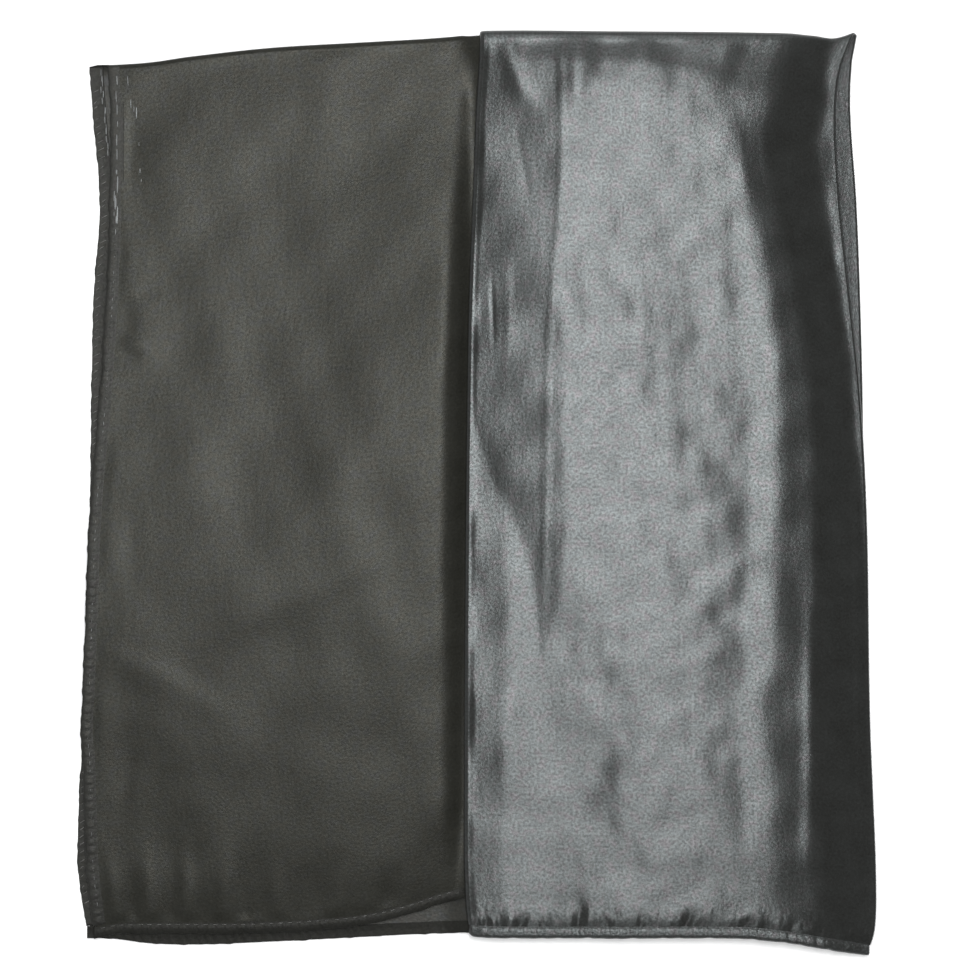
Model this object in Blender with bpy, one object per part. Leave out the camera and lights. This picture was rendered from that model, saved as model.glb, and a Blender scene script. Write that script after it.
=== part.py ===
"""Satin square scarf, pleated upright, folded in half over its top edge and laid flat.

Lengths are in millimetres until the last step. X runs across the folded scarf, Y up its height and
Z up from the surface it lies on. The cloth is pleated first: a single stretch at the left, then a
flap that comes back over its own hidden plies. All of it is then folded in half, so that a front
half lies on a back half. A ply's level is its distance from the middle plane between the two.
"""
from collections import namedtuple
import math

import bmesh
import bpy

MM = 0.001

# The square of cloth and how it is folded
SQUARE_SIDE = 600.0
HALF_HEIGHT = SQUARE_SIDE / 2
PLY = 1.0
AIR = 0.3

# Middle levels of the plies of one half, from the middle plane outwards
BASE_LEVEL = (AIR + PLY) / 2
TUCKED_LEVEL = BASE_LEVEL + PLY + AIR
FLAP_LEVEL = TUCKED_LEVEL + PLY + AIR
FOLD_RADIUS = (PLY + AIR) / 2
BASE_OUTSIDE = BASE_LEVEL + PLY / 2
FLAP_OUTSIDE = FLAP_LEVEL + PLY / 2

# Turned hems
SIDE_HEM_WIDTH = 4.5
BOTTOM_HEM_WIDTH = 4.0
HEM_THICKNESS = 1.6
HEM_RISE = HEM_THICKNESS - PLY
FLAP_HEM_RISE = 0.4
HEM_ROUNDING = 0.45

# Where the plies inside the bundle end, across the scarf
TUCKED_END = 11.7
RETURN_END = 106.3

# Where the rows and hems along the folds and edges are measured
LEFT_FOLD_X = -1.0
RIGHT_FOLD_X = 126.0
SIDE_HEM_X = -127.0
BOTTOM_HEM_Y = -145.5

# How the cloth lifts off the flat. A fall or fade is the width over which a height runs out.
CROWN_HEIGHT = 1.3
CROWN_CORNER_RADIUS = 62.0
CROWN_FALL = 30.0
CROWN_LEFT_FALL = 14.0
CROWN_BOTTOM_FALL = 16.0
CROWN_AT_HEM = 0.35
SLOPE_WIDTH = 27.0
SLOPE_END = 3.0
RAMP_WIDTH = 24.0
RAMP_FALL = 22.0
LEFT_AIR_LIFT = 0.5
AIR_FADE = 13.0
CREASE_FADE = 9.0
CREASE_TAPER = 0.7
HEM_FADE = 10.0
AXIS_FADE = 8.0
AXIS_FADE_START = -6.0
TROUGH_ALLOWANCE = 0.7
FOLD_STRAIGHT = 4.0

# Middle of the folded outline below, which becomes the part's origin
CENTRE_X = 0.08
CENTRE_Y = 0.41

# Mesh spacing
FRONT_ROWS = 33
BACK_ROWS = 14
FOLD_STEPS = 6
FLAP_COLUMNS = 17
RETURN_COLUMNS = 3
LEFT_HEM_STEPS = 26
LEFT_COLUMNS = 18

Edge = namedtuple("Edge", "y left_front left_back fold right_front right_back")
EDGES = [
    Edge(-153.0, -126.3, -128.3, 0.8, 129.6, 129.0),
    Edge(-143.0, -127.2, -129.8, -2.8, 132.2, 131.6),
    Edge(-124.5, -129.3, -132.4, -4.1, 132.5, 131.8),
    Edge(-98.0, -130.2, -132.0, -4.1, 131.5, 130.9),
    Edge(-86.5, -130.5, -131.2, -4.1, 131.0, 130.3),
    Edge(-79.5, -131.2, -131.5, -4.1, 130.7, 130.0),
    Edge(-61.5, -130.4, -130.2, -4.0, 130.3, 129.6),
    Edge(-9.0, -128.4, -128.6, -3.6, 129.5, 128.7),
    Edge(31.0, -125.2, -128.0, -3.1, 127.4, 128.3),
    Edge(64.0, -123.0, -127.3, -2.5, 124.1, 127.5),
    Edge(97.5, -121.7, -125.2, -1.3, 120.6, 126.2),
    Edge(127.0, -121.5, -127.6, -0.2, 119.1, 124.2),
    Edge(143.0, -122.2, -128.6, 0.8, 120.8, 124.6),
    Edge(153.0, -122.3, -128.6, 1.2, 122.3, 126.5),
]

Level = namedtuple("Level", "x y")
TOP = [
    Level(-129.0, 142.5), Level(-121.3, 142.5), Level(-108.1, 143.4), Level(-94.9, 145.3),
    Level(-68.4, 148.2), Level(-41.9, 149.8), Level(-15.4, 151.3), Level(-3.5, 152.4),
    Level(2.5, 153.6), Level(41.0, 153.5), Level(100.5, 152.9), Level(112.0, 152.0),
    Level(119.0, 151.3), Level(126.5, 153.6),
]
LEFT_FRONT_BOTTOM = [
    Level(-128.6, -147.9), Level(-118.0, -146.0), Level(-75.0, -145.7), Level(-45.2, -144.0),
    Level(-32.0, -142.0), Level(-22.0, -139.4), Level(-12.1, -136.1), Level(-2.2, -133.9),
    Level(12.0, -133.4),
]
FLAP_FRONT_BOTTOM = [
    Level(-4.2, -145.7), Level(1.2, -146.7), Level(21.0, -147.0), Level(87.2, -147.0),
    Level(97.2, -147.8), Level(107.1, -149.2), Level(125.3, -152.4), Level(132.9, -153.2),
]
BACK_BOTTOM = [
    Level(-131.0, -147.6), Level(-121.3, -147.8), Level(-108.0, -149.4), Level(-91.5, -149.7),
    Level(-58.4, -148.3), Level(-22.0, -146.4), Level(-2.0, -145.6), Level(7.8, -145.2),
    Level(21.0, -146.2), Level(87.0, -146.2),
    Level(107.0, -148.4), Level(132.9, -152.4),
]

# Soft creases: a trough has a negative height
Crease = namedtuple("Crease", "x0 y0 x1 y1 width height")
FLAP_CREASES = [
    Crease(28.6, 140.0, 21.4, -64.9, 4.5, -0.45),
    Crease(14.4, 12.0, 11.1, -110.0, 6.0, 0.45),
    Crease(22.7, 14.0, 21.0, -46.0, 5.0, -0.40),
    Crease(34.0, 70.0, 51.0, 52.5, 6.0, -0.60),
    Crease(37.6, 34.0, 62.0, 53.5, 5.5, 0.70),
    Crease(66.0, 63.0, 82.0, 46.0, 5.5, -0.55),
    Crease(71.0, -37.0, 101.0, -21.0, 6.0, 0.70),
    Crease(27.6, -126.0, 54.1, -46.0, 10.0, -0.55),
    Crease(107.5, 24.0, 108.5, -134.0, 5.0, 0.45),
    Crease(60.0, -140.0, 76.0, -70.0, 9.0, 0.40),
]
LEFT_CREASES = [
    Crease(-97.0, -53.0, -23.0, -17.5, 7.0, 0.65),
    Crease(-127.0, -51.0, -80.0, -75.5, 6.0, 0.45),
    Crease(-88.0, -70.0, -30.0, -40.0, 9.0, -0.35),
    Crease(-118.5, -112.0, -119.5, -142.0, 4.5, 0.40),
    Crease(-107.5, -116.0, -108.5, -142.0, 4.5, -0.30),
    Crease(-97.0, -122.0, -96.0, -142.0, 5.0, 0.35),
    Crease(-122.0, 49.0, -103.0, 44.0, 5.0, 0.40),
    Crease(-60.0, 132.0, -22.0, 120.0, 12.0, 0.35),
]

# Larger puckers of the bottom hems, where the stitching has drawn them in
Pucker = namedtuple("Pucker", "x depth")
FLAP_PUCKERS = [
    Pucker(14.4, 0.35), Pucker(33.6, 0.6), Pucker(54.1, 0.35), Pucker(68.4, 0.55),
    Pucker(87.9, 0.6), Pucker(108.8, 0.4),
]
LEFT_PUCKERS = [
    Pucker(-118.0, 0.35), Pucker(-104.5, 0.3), Pucker(-91.5, 0.3), Pucker(-58.4, 0.4),
    Pucker(-30.3, 0.45),
]
PUCKER_WIDTH = 3.2

# Hidden plies: how far each one's hem stops short of the bottom edge
HIDDEN_SETBACKS = [1.6, 0.7, 2.2, 1.2, 2.6, 0.9]
HIDDEN_GROOVE = 0.22
HIDDEN_GROOVE_DEPTH = 5.0
HIDDEN_COLUMNS = 13
HIDDEN_ROWS = 10

# Colours, as linear red, green and blue
GLOSSY_FACE = (0.30, 0.32, 0.33)
DULL_REVERSE = (0.060, 0.060, 0.053)
HIDDEN_CLOTH = (0.10, 0.10, 0.095)


def smooth(t):
    """0 to 1 with soft ends."""
    t = min(max(t, 0.0), 1.0)
    return t * t * (3 - 2 * t)


def mix(a, b, share):
    return a + (b - a) * share


def read(rows, key, column, at):
    """A column of a table at a place between its rows, on a smooth curve through them."""
    keys = [getattr(row, key) for row in rows]
    values = [getattr(row, column) for row in rows]
    at = min(max(at, keys[0]), keys[-1])
    i = max(k for k in range(len(keys) - 1) if keys[k] <= at)

    def slope(k):
        low, high = max(k - 1, 0), min(k + 1, len(keys) - 1)
        return (values[high] - values[low]) / (keys[high] - keys[low])

    span = keys[i + 1] - keys[i]
    t = (at - keys[i]) / span
    start = values[i] * (1 + 2 * t) * (1 - t) ** 2 + slope(i) * span * t * (1 - t) ** 2
    end = values[i + 1] * t * t * (3 - 2 * t) - slope(i + 1) * span * t * t * (1 - t)
    return start + end


def edge(column, y):
    return read(EDGES, "y", column, y)


def bottom_edge(rows, x):
    return read(rows, "x", "y", x)


def right_slope(x, y, right_column):
    """How much lower the bundle is near its right fold, where no hidden plies lie inside."""
    into = x - edge(right_column, y) + SLOPE_WIDTH + SLOPE_END
    return (FLAP_LEVEL - TUCKED_LEVEL) * smooth(into / SLOPE_WIDTH)


def bundle_outside(x, y):
    """Level of the back half's outer face in the bundle, which is its thickness."""
    return FLAP_OUTSIDE - right_slope(x, y, "right_back")


def ramp(x, y):
    """How far the left stretch has risen from the surface to the bundle, from 0 to 1."""
    return smooth((x - edge("fold", y) + RAMP_WIDTH) / RAMP_FALL)


def middle(x, y):
    """Height of the middle plane above the surface the scarf lies on."""
    beside_hem = smooth((x - edge("left_back", y) - SIDE_HEM_WIDTH - AIR) / HEM_FADE)
    above_hem = smooth((y - bottom_edge(BACK_BOTTOM, x) - BOTTOM_HEM_WIDTH - AIR) / HEM_FADE)
    single = BASE_OUTSIDE + HEM_RISE * (1 - beside_hem * above_hem)
    return mix(single, bundle_outside(x, y), ramp(x, y))


def fold_axis(x):
    """Height up the scarf of the line round which everything is folded in half."""
    share = smooth((x - AXIS_FADE_START) / AXIS_FADE)
    return read(TOP, "x", "y", x) - mix(BASE_OUTSIDE, bundle_outside(x, HALF_HEIGHT / 2), share)


def relief(creases, x, y):
    """Height of the creases at a place: soft across, tapered towards both ends."""
    total = 0.0
    for crease in creases:
        dx, dy = crease.x1 - crease.x0, crease.y1 - crease.y0
        length = math.hypot(dx, dy)
        t = ((x - crease.x0) * dx + (y - crease.y0) * dy) / length ** 2
        if 0 < t < 1:
            across = ((x - crease.x0) * dy - (y - crease.y0) * dx) / length / crease.width
            total += crease.height * math.exp(-across ** 2) * math.sin(math.pi * t) ** CREASE_TAPER
    return total


def crown(x, y):
    """The flap's soft swell over the hidden plies, rounded off at its upper right corner."""
    right = edge("right_front", y) - x
    top = fold_axis(x) - y
    inset_right, inset_top = CROWN_CORNER_RADIUS - right, CROWN_CORNER_RADIUS - top
    inside = min(right, top)
    if inset_right > 0 and inset_top > 0:
        inside = CROWN_CORNER_RADIUS - math.hypot(inset_right, inset_top)
    left = smooth((x - edge("fold", y) - PLY) / CROWN_LEFT_FALL)
    bottom = smooth((y - bottom_edge(FLAP_FRONT_BOTTOM, x)) / CROWN_BOTTOM_FALL)
    return CROWN_HEIGHT * smooth(inside / CROWN_FALL) * left * mix(CROWN_AT_HEM, 1, bottom)


def flap_level(x, y, share):
    """Middle level of the flap's outer ply; share goes from 0 on the front to 1 on the back."""
    front = FLAP_LEVEL - right_slope(x, y, "right_front")
    back = FLAP_LEVEL - right_slope(x, y, "right_back")
    inner = smooth((x - edge("fold", y) - 2 * PLY) / CREASE_FADE)
    inner *= smooth((edge("right_front", y) - x - 2 * PLY) / CREASE_FADE)
    inner *= smooth((fold_axis(x) - y) / CREASE_FADE)
    swell = crown(x, y) + relief(FLAP_CREASES, x, y) * inner
    return mix(front, back, share) + swell * (1 - share)


def left_lift(x, y):
    """Air and creases under the front ply of the left stretch."""
    inner = smooth((x - edge("left_front", y) - SIDE_HEM_WIDTH) / AIR_FADE)
    inner *= smooth((edge("fold", y) - x) / AIR_FADE)
    inner *= smooth((y - bottom_edge(LEFT_FRONT_BOTTOM, x) - BOTTOM_HEM_WIDTH) / AIR_FADE)
    inner *= smooth((fold_axis(x) - y) / AIR_FADE)
    return LEFT_AIR_LIFT * inner + relief(LEFT_CREASES, x, y) * math.sqrt(inner)


# A station is one place up the scarf: share runs from 0 at the front's bottom edge, over the fold,
# to 1 at the back's; climb is how far up its half it lies and turn its angle round the fold.
Station = namedtuple("Station", "share climb turn")


def stations():
    front = [Station(0.0, i / FRONT_ROWS, 90.0) for i in range(FRONT_ROWS + 1)]
    turns = [i / FOLD_STEPS for i in range(1, FOLD_STEPS)]
    over = [Station(t, 1.0, 90 - 180 * t) for t in turns]
    back = [Station(1.0, 1 - i / BACK_ROWS, -90.0) for i in range(BACK_ROWS + 1)]
    return front + over + back


def put(station, bottoms, x, level):
    """World place of a point at a level of a station."""
    y = row_height(station, bottoms, x)
    if 0 < station.share < 1:
        turn = math.radians(station.turn)
        return (x, y + level * math.cos(turn), middle(x, y) + level * math.sin(turn))
    return (x, y, lie(x, y, level, station.share == 0))


def lie(x, y, level, front):
    """Height of a level of one half: the back half's outer faces lie flat on the surface."""
    if front:
        return middle(x, y) + level
    return max(mix(BASE_OUTSIDE, bundle_outside(x, y), ramp(x, y)) - level, 0.0)


def row_height(station, bottoms, x, margin=BOTTOM_HEM_WIDTH + AIR):
    """How far up the scarf a station lies, on a row that starts a margin above the bottom edge."""
    axis = fold_axis(x)
    if 0 < station.share < 1:
        return axis
    return mix(bottom_edge(bottoms[int(station.share)], x) + margin, axis, station.climb)


def offset(path, distance):
    """The path moved sideways, with its corners kept sharp."""
    moved = []
    for i, (x, n) in enumerate(path):
        before = path[max(i - 1, 0)]
        after = path[min(i + 1, len(path) - 1)]
        a = math.atan2(n - before[1], x - before[0]) if i > 0 else None
        b = math.atan2(after[1] - n, after[0] - x) if i < len(path) - 1 else None
        a = b if a is None else a
        b = a if b is None else b
        half = math.remainder(b - a, 2 * math.pi) / 2
        reach = distance / math.cos(half)
        moved.append((x - math.sin(a + half) * reach, n + math.cos(a + half) * reach))
    return moved


def flap_path(station, margin=BOTTOM_HEM_WIDTH + AIR):
    """Middle line of the flap's ply: tucked end, left fold, outer ply, right fold, returned end."""
    bottoms = (FLAP_FRONT_BOTTOM, BACK_BOTTOM)
    left = edge("fold", row_height(station, bottoms, LEFT_FOLD_X, margin)) + FOLD_RADIUS + PLY / 2
    y = row_height(station, bottoms, RIGHT_FOLD_X, margin)
    right = mix(edge("right_front", y), edge("right_back", y), station.share) - FOLD_RADIUS - PLY / 2
    path = [(TUCKED_END, TUCKED_LEVEL), (left + FOLD_STRAIGHT, TUCKED_LEVEL)]
    for i in range(FOLD_STEPS):
        turn = math.radians(270 - 180 * i / FOLD_STEPS)
        centre = (TUCKED_LEVEL + FLAP_LEVEL) / 2
        path.append((left + FOLD_RADIUS * math.cos(turn), centre + FOLD_RADIUS * math.sin(turn)))
    for i in range(FLAP_COLUMNS + 1):
        x = mix(left, right, i / FLAP_COLUMNS)
        path.append((x, flap_level(x, row_height(station, bottoms, x, margin), station.share)))
    for i in range(1, FOLD_STEPS + 1):
        turn = math.radians(90 - 180 * i / FOLD_STEPS)
        centre = (BASE_LEVEL + TUCKED_LEVEL) / 2
        path.append((right + FOLD_RADIUS * math.cos(turn), centre + FOLD_RADIUS * math.sin(turn)))
    for i in range(RETURN_COLUMNS + 1):
        path.append((mix(right - FOLD_STRAIGHT, RETURN_END, i / RETURN_COLUMNS), BASE_LEVEL))
    return path


def loft(rings, wall=False):
    """One closed body through rings of points. A wall's rings are outer points, then inner ones."""
    mesh = bmesh.new()
    rows = []
    for ring in rings:
        places = [((x - CENTRE_X) * MM, (y - CENTRE_Y) * MM, z * MM) for x, y, z in ring]
        rows.append([mesh.verts.new(place) for place in places])
    count = len(rings[0])
    for low, high in zip(rows, rows[1:]):
        for i in range(count):
            k = (i + 1) % count
            mesh.faces.new((low[i], low[k], high[k], high[i]))
    for row in (rows[0], rows[-1]):
        if wall:
            for i in range(count // 2 - 1):
                mesh.faces.new((row[i], row[i + 1], row[-2 - i], row[-1 - i]))
        else:
            mesh.faces.new(row)
    bmesh.ops.recalc_face_normals(mesh, faces=mesh.faces)
    return mesh


def make_material(name, colour, roughness):
    material = bpy.data.materials.new(name)
    material.use_nodes = True
    shader = material.node_tree.nodes["Principled BSDF"]
    shader.inputs["Base Color"].default_value = (*colour, 1)
    shader.inputs["Roughness"].default_value = roughness
    shader.inputs["Metallic"].default_value = 0.0
    material.diffuse_color = (*colour, 1)
    return material


def make_object(name, mesh, colour, roughness, collection, parent):
    data = bpy.data.meshes.new(name)
    mesh.to_mesh(data)
    mesh.free()
    data.shade_smooth()
    data.set_sharp_from_angle(angle=math.radians(40))
    data.materials.append(make_material(name + "_satin", colour, roughness))
    obj = bpy.data.objects.new(name, data)
    collection.objects.link(obj)
    obj.parent = parent
    return obj


def left_edge(station):
    """Left edge of the scarf at a station of the left stretch."""
    y = row_height(station, (LEFT_FRONT_BOTTOM, BACK_BOTTOM), SIDE_HEM_X)
    return mix(edge("left_front", y), edge("left_back", y), station.share)


def build_left_stretch():
    """The single stretch left of the flap, front and back, with the plies that run under the flap."""
    bottoms = (LEFT_FRONT_BOTTOM, BACK_BOTTOM)
    rings = []
    for station in stations():
        left = left_edge(station) + SIDE_HEM_WIDTH + AIR
        outer, inner = [], []
        for i in range(LEFT_COLUMNS + 1):
            x = mix(left, TUCKED_END, i / LEFT_COLUMNS)
            lift = left_lift(x, row_height(station, bottoms, x)) * (1 - station.share)
            outer.append(put(station, bottoms, x, BASE_OUTSIDE + lift))
            inner.append(put(station, bottoms, x, BASE_LEVEL - PLY / 2 + lift))
        rings.append(outer + inner[::-1])
    return loft(rings, wall=True)


def build_flap():
    """The flap: its outer ply with the left, right and top folds, on the front and on the back."""
    bottoms = (FLAP_FRONT_BOTTOM, BACK_BOTTOM)
    rings = []
    for station in stations():
        path = flap_path(station)
        outer = [put(station, bottoms, x, n) for x, n in offset(path, PLY / 2)]
        inner = [put(station, bottoms, x, n) for x, n in offset(path, -PLY / 2)]
        rings.append(outer + inner[::-1])
    return loft(rings, wall=True)


def hidden_front(x, y):
    """Level of the hidden plies' front face, clear of the flap's troughs."""
    swell = max(crown(x, y) - TROUGH_ALLOWANCE, 0)
    return FLAP_OUTSIDE - right_slope(x, y, "right_front") - PLY - AIR + swell


def hidden_back(x, y):
    return bundle_outside(x, y) - PLY - AIR


def hidden_steps(x, bottom):
    """Bottom end of the hidden plies, back to front: each ply's hem, with a groove up to the next."""
    back = -hidden_back(x, bottom)
    plies = len(HIDDEN_SETBACKS)
    pitch = (hidden_front(x, bottom) - back) / plies
    points = []
    for k, setback in enumerate(HIDDEN_SETBACKS):
        low = back + k * pitch + (HIDDEN_GROOVE / 2 if k > 0 else 0)
        high = back + (k + 1) * pitch - (HIDDEN_GROOVE / 2 if k < plies - 1 else 0)
        if k > 0:
            points.append((bottom + HIDDEN_GROOVE_DEPTH, low))
        points += [(bottom + setback, low), (bottom + setback, high)]
        if k < plies - 1:
            points.append((bottom + HIDDEN_GROOVE_DEPTH, high))
    return points


def build_hidden_layers():
    """The plies inside the bundle as one rounded solid, with their hems stepped at the bottom."""
    rings = []
    for i in range(HIDDEN_COLUMNS + 1):
        x = mix(TUCKED_END + AIR, RETURN_END - AIR, i / HIDDEN_COLUMNS)
        bottom = max(bottom_edge(FLAP_FRONT_BOTTOM, x), bottom_edge(BACK_BOTTOM, x))
        axis = fold_axis(x)
        profile = hidden_steps(x, bottom)
        for k in range(1, HIDDEN_ROWS + 1):
            y = mix(bottom + HIDDEN_SETBACKS[-1], axis, k / HIDDEN_ROWS)
            profile.append((y, hidden_front(x, y)))
        ring = [(x, y, middle(x, y) + level) for y, level in profile]
        for k in range(1, FOLD_STEPS):
            turn = math.radians(90 - 180 * k / FOLD_STEPS)
            level = mix(hidden_front(x, axis), hidden_back(x, axis), k / FOLD_STEPS)
            ring.append((x, axis + level * math.cos(turn), middle(x, axis) + level * math.sin(turn)))
        for y in (axis, (axis + bottom) / 2):
            ring.append((x, y, middle(x, y) - hidden_back(x, y)))
        rings.append(ring)
    return loft(rings)


def rounded_strip(width, low, high):
    """Section of a turned hem: a flat strip from its outer edge to its stitching, corners rounded."""
    r = HEM_ROUNDING
    return [
        (0, low + r), (0, high - r), (r, high), (width - r, high),
        (width, high - r), (width, low + r), (width - r, low), (r, low),
    ]


def build_side_hem():
    """The left edge's turned hem, up the front, over the fold and down the back."""
    bottoms = (LEFT_FRONT_BOTTOM, BACK_BOTTOM)
    low = BASE_LEVEL - PLY / 2
    rings = []
    for station in stations():
        left = left_edge(station)
        ring = []
        for across, level in rounded_strip(SIDE_HEM_WIDTH, low, low + HEM_THICKNESS):
            if station.share == 1:
                level -= HEM_RISE
            ring.append(put(station, bottoms, left + across, level))
        rings.append(ring)
    return loft(rings)


def pucker(puckers, x):
    return sum(p.depth * math.exp(-((x - p.x) / PUCKER_WIDTH) ** 2) for p in puckers)


def build_left_bottom_hem(front):
    """The bottom hem of the left stretch, on the front or on the back."""
    bottoms = LEFT_FRONT_BOTTOM if front else BACK_BOTTOM
    side = "left_front" if front else "left_back"
    low = BASE_LEVEL - PLY / 2
    rings = []
    for i in range(LEFT_HEM_STEPS + 1):
        x = mix(edge(side, BOTTOM_HEM_Y), TUCKED_END, i / LEFT_HEM_STEPS)
        bottom = bottom_edge(bottoms, x)
        rise = HEM_RISE * (1 - ramp(x, bottom))
        drawn = pucker(LEFT_PUCKERS, x) if front else 0.0
        ring = []
        for across, level in rounded_strip(BOTTOM_HEM_WIDTH, low, low + PLY + rise):
            y = bottom + across + drawn * (1 - across / BOTTOM_HEM_WIDTH)
            ring.append((x, y, lie(x, y, level if front else level - rise, front)))
        rings.append(ring)
    return loft(rings)


def build_flap_bottom_hem(front):
    """The flap's bottom hem, round both its folds, on the front or on the back."""
    station = Station(0.0 if front else 1.0, 0.0, 90.0 if front else -90.0)
    bottoms = FLAP_FRONT_BOTTOM if front else BACK_BOTTOM
    path = flap_path(station, BOTTOM_HEM_WIDTH / 2)
    first, last = 2 + FOLD_STEPS, 2 + FOLD_STEPS + FLAP_COLUMNS
    rings = []
    for i in range(len(path)):
        on_top = front and first < i < last
        rise = FLAP_HEM_RISE if on_top else 0.0
        drawn = pucker(FLAP_PUCKERS, path[i][0]) if on_top else 0.0
        ring = []
        for across, level in rounded_strip(BOTTOM_HEM_WIDTH, -PLY / 2, PLY / 2 + rise):
            x, ply_level = offset(path, level)[i]
            y = bottom_edge(bottoms, x) + across + drawn * (1 - across / BOTTOM_HEM_WIDTH)
            ring.append((x, y, lie(x, y, ply_level, front)))
        rings.append(ring)
    return loft(rings)


def build():
    for obj in list(bpy.data.objects):
        bpy.data.objects.remove(obj)
    collection = bpy.data.collections.new("satin_square_scarf")
    bpy.context.scene.collection.children.link(collection)
    root = bpy.data.objects.new("scarf_root", None)
    collection.objects.link(root)
    pieces = [
        ("left_stretch", build_left_stretch(), DULL_REVERSE, 0.55),
        ("flap", build_flap(), GLOSSY_FACE, 0.32),
        ("hidden_layers", build_hidden_layers(), HIDDEN_CLOTH, 0.5),
        ("side_hem", build_side_hem(), GLOSSY_FACE, 0.4),
        ("left_bottom_hem_front", build_left_bottom_hem(True), GLOSSY_FACE, 0.4),
        ("left_bottom_hem_back", build_left_bottom_hem(False), GLOSSY_FACE, 0.4),
        ("flap_bottom_hem_front", build_flap_bottom_hem(True), GLOSSY_FACE, 0.36),
        ("flap_bottom_hem_back", build_flap_bottom_hem(False), GLOSSY_FACE, 0.36),
    ]
    for name, mesh, colour, roughness in pieces:
        make_object(name, mesh, colour, roughness, collection, root)


build()
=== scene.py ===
"""Visual model of the folded satin square scarf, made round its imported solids.

Lengths are in millimetres until points become a mesh. X runs across the folded scarf, Y up its
height and Z up from the floor. A ply's level is its distance from the middle plane between the
front half and the back half, and a depth is a distance below the flap's outer face.
"""

from collections import namedtuple
import math

import bpy
import numpy as np
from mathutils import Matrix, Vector


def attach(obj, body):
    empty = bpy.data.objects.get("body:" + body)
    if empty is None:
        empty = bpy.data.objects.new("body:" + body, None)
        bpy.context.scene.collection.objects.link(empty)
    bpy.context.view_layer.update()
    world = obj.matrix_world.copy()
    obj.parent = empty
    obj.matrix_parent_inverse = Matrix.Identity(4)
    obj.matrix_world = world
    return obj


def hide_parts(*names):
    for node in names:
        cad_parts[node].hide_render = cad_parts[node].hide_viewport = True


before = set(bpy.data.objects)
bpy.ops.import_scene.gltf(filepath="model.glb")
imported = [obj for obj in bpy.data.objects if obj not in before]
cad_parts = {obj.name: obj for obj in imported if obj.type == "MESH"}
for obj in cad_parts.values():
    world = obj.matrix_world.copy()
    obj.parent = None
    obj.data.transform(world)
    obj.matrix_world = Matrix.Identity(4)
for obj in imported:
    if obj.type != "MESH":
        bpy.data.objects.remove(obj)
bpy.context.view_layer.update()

MM = 0.001

# The square of cloth and how it is folded
SQUARE_SIDE = 600.0
HALF_HEIGHT = SQUARE_SIDE / 2
PLY = 1.0
AIR = 0.3
BASE_LEVEL = (AIR + PLY) / 2
TUCKED_LEVEL = BASE_LEVEL + PLY + AIR
FLAP_LEVEL = TUCKED_LEVEL + PLY + AIR
OUTER_RADIUS = PLY + AIR / 2
BASE_OUTSIDE = BASE_LEVEL + PLY / 2
FLAP_OUTSIDE = FLAP_LEVEL + PLY / 2
SATIN = 0.32
FOLD_STEPS = 8

# Turned hems
SIDE_HEM_WIDTH = 4.5
BOTTOM_HEM_WIDTH = 4.0
HEM_MARGIN = BOTTOM_HEM_WIDTH + 0.15
HEM_RISE = 0.6
STITCH_PITCH = 3.1
STITCH_HOLE = 0.8
STITCH_LINE = 0.74
SIDE_STITCH_LINE = 0.5
TICK_PITCH = 2.85
MARGIN_TILT = 0.08

# Where the plies inside the bundle end, across the scarf
TUCKED_END = 11.7
RETURN_END = 106.3
PLEAT_FOLD_X = 103.5
PLEAT_END = 8.5

# Where the rows and hems along the folds and edges are measured
LEFT_FOLD_X = -1.0
RIGHT_FOLD_X = 126.0
SIDE_HEM_X = -127.0
BOTTOM_HEM_Y = -145.5

# How the cloth lifts off the flat. A fall or fade is the width over which a height runs out.
CROWN_HEIGHT = 1.9
CROWN_BOTTOM_FALL = 9.0
CROWN_AT_HEM = 0.8
SLOPE_WIDTH = 27.0
SLOPE_END = 3.0
FALL_WIDTH = 31.5
TOP_FALL_WIDTH = 44.0
FALL_SHIFT = 0.4
FACET_SLOPE = 0.060
NEAR_FOLD = 9.0
REST_START = 24.0
REST_END = 60.0
RAMP_WIDTH = 9.5
RAMP_STEEPENING = 2.2
LEFT_AIR_LIFT = 1.7
AIR_SLOPE_START = -25.0
RIGHT_AIR_LIFT = 2.9
RIGHT_SLOPE_START = 70.0
AIR_BEND = 1.5
AIR_TOP_FADE, RIGHT_TOP_FADE = 190.0, 105.0
HEM_DROP, HEM_DROP_WIDTH = 0.6, 21.0
RIGHT_HEM_DROP, RIGHT_DROP_WIDTH = 1.25, 38.0
DIP_DEPTH, DIP_WIDTH = 1.8, 4.8
MOTTLE_START, MOTTLE_END = 27.0, 94.0
CREASE_FADE = 9.0
AXIS_FADE = 8.0
AXIS_FADE_START = -6.0
FOLD_STRAIGHT = 0.3
FOLD_SQUASH = 0.45
TOP_SQUASH = 0.5

# Middle of the folded outline below, which is the part's origin
CENTRE = np.array([0.08, 0.41, 0.0])


def columns(names, *rows):
    """A short table as a dictionary of its named columns."""
    return dict(zip(names.split(), np.array(rows, float).T))


EDGES = columns(
    "y left_front left_back fold right_front right_back",
    (-153, -126.3, -128.3, 0.8, 129.6, 129),
    (-143, -127.2, -129.8, -2.8, 132.2, 131.6),
    (-124.5, -129.3, -132.4, -4.1, 132.5, 131.8),
    (-98, -130.2, -132, -4.1, 131.5, 130.9),
    (-86.5, -130.5, -131.2, -4.1, 131, 130.3),
    (-79.5, -131.2, -131.5, -4.1, 130.7, 130),
    (-61.5, -130.4, -130.2, -4, 130.3, 129.6),
    (-9, -128.4, -128.6, -3.6, 129.5, 128.7),
    (31, -125.2, -128, -3.1, 127.4, 128.3),
    (64, -123, -127.3, -2.5, 124.1, 127.5),
    (97.5, -121.7, -125.2, -1.3, 120.6, 126.2),
    (127, -121.5, -127.6, -0.2, 119.1, 124.2),
    (143, -122.2, -128.6, 0.8, 120.8, 124.6),
    (153, -122.3, -128.6, 1.2, 125, 126.5),
)
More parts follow.
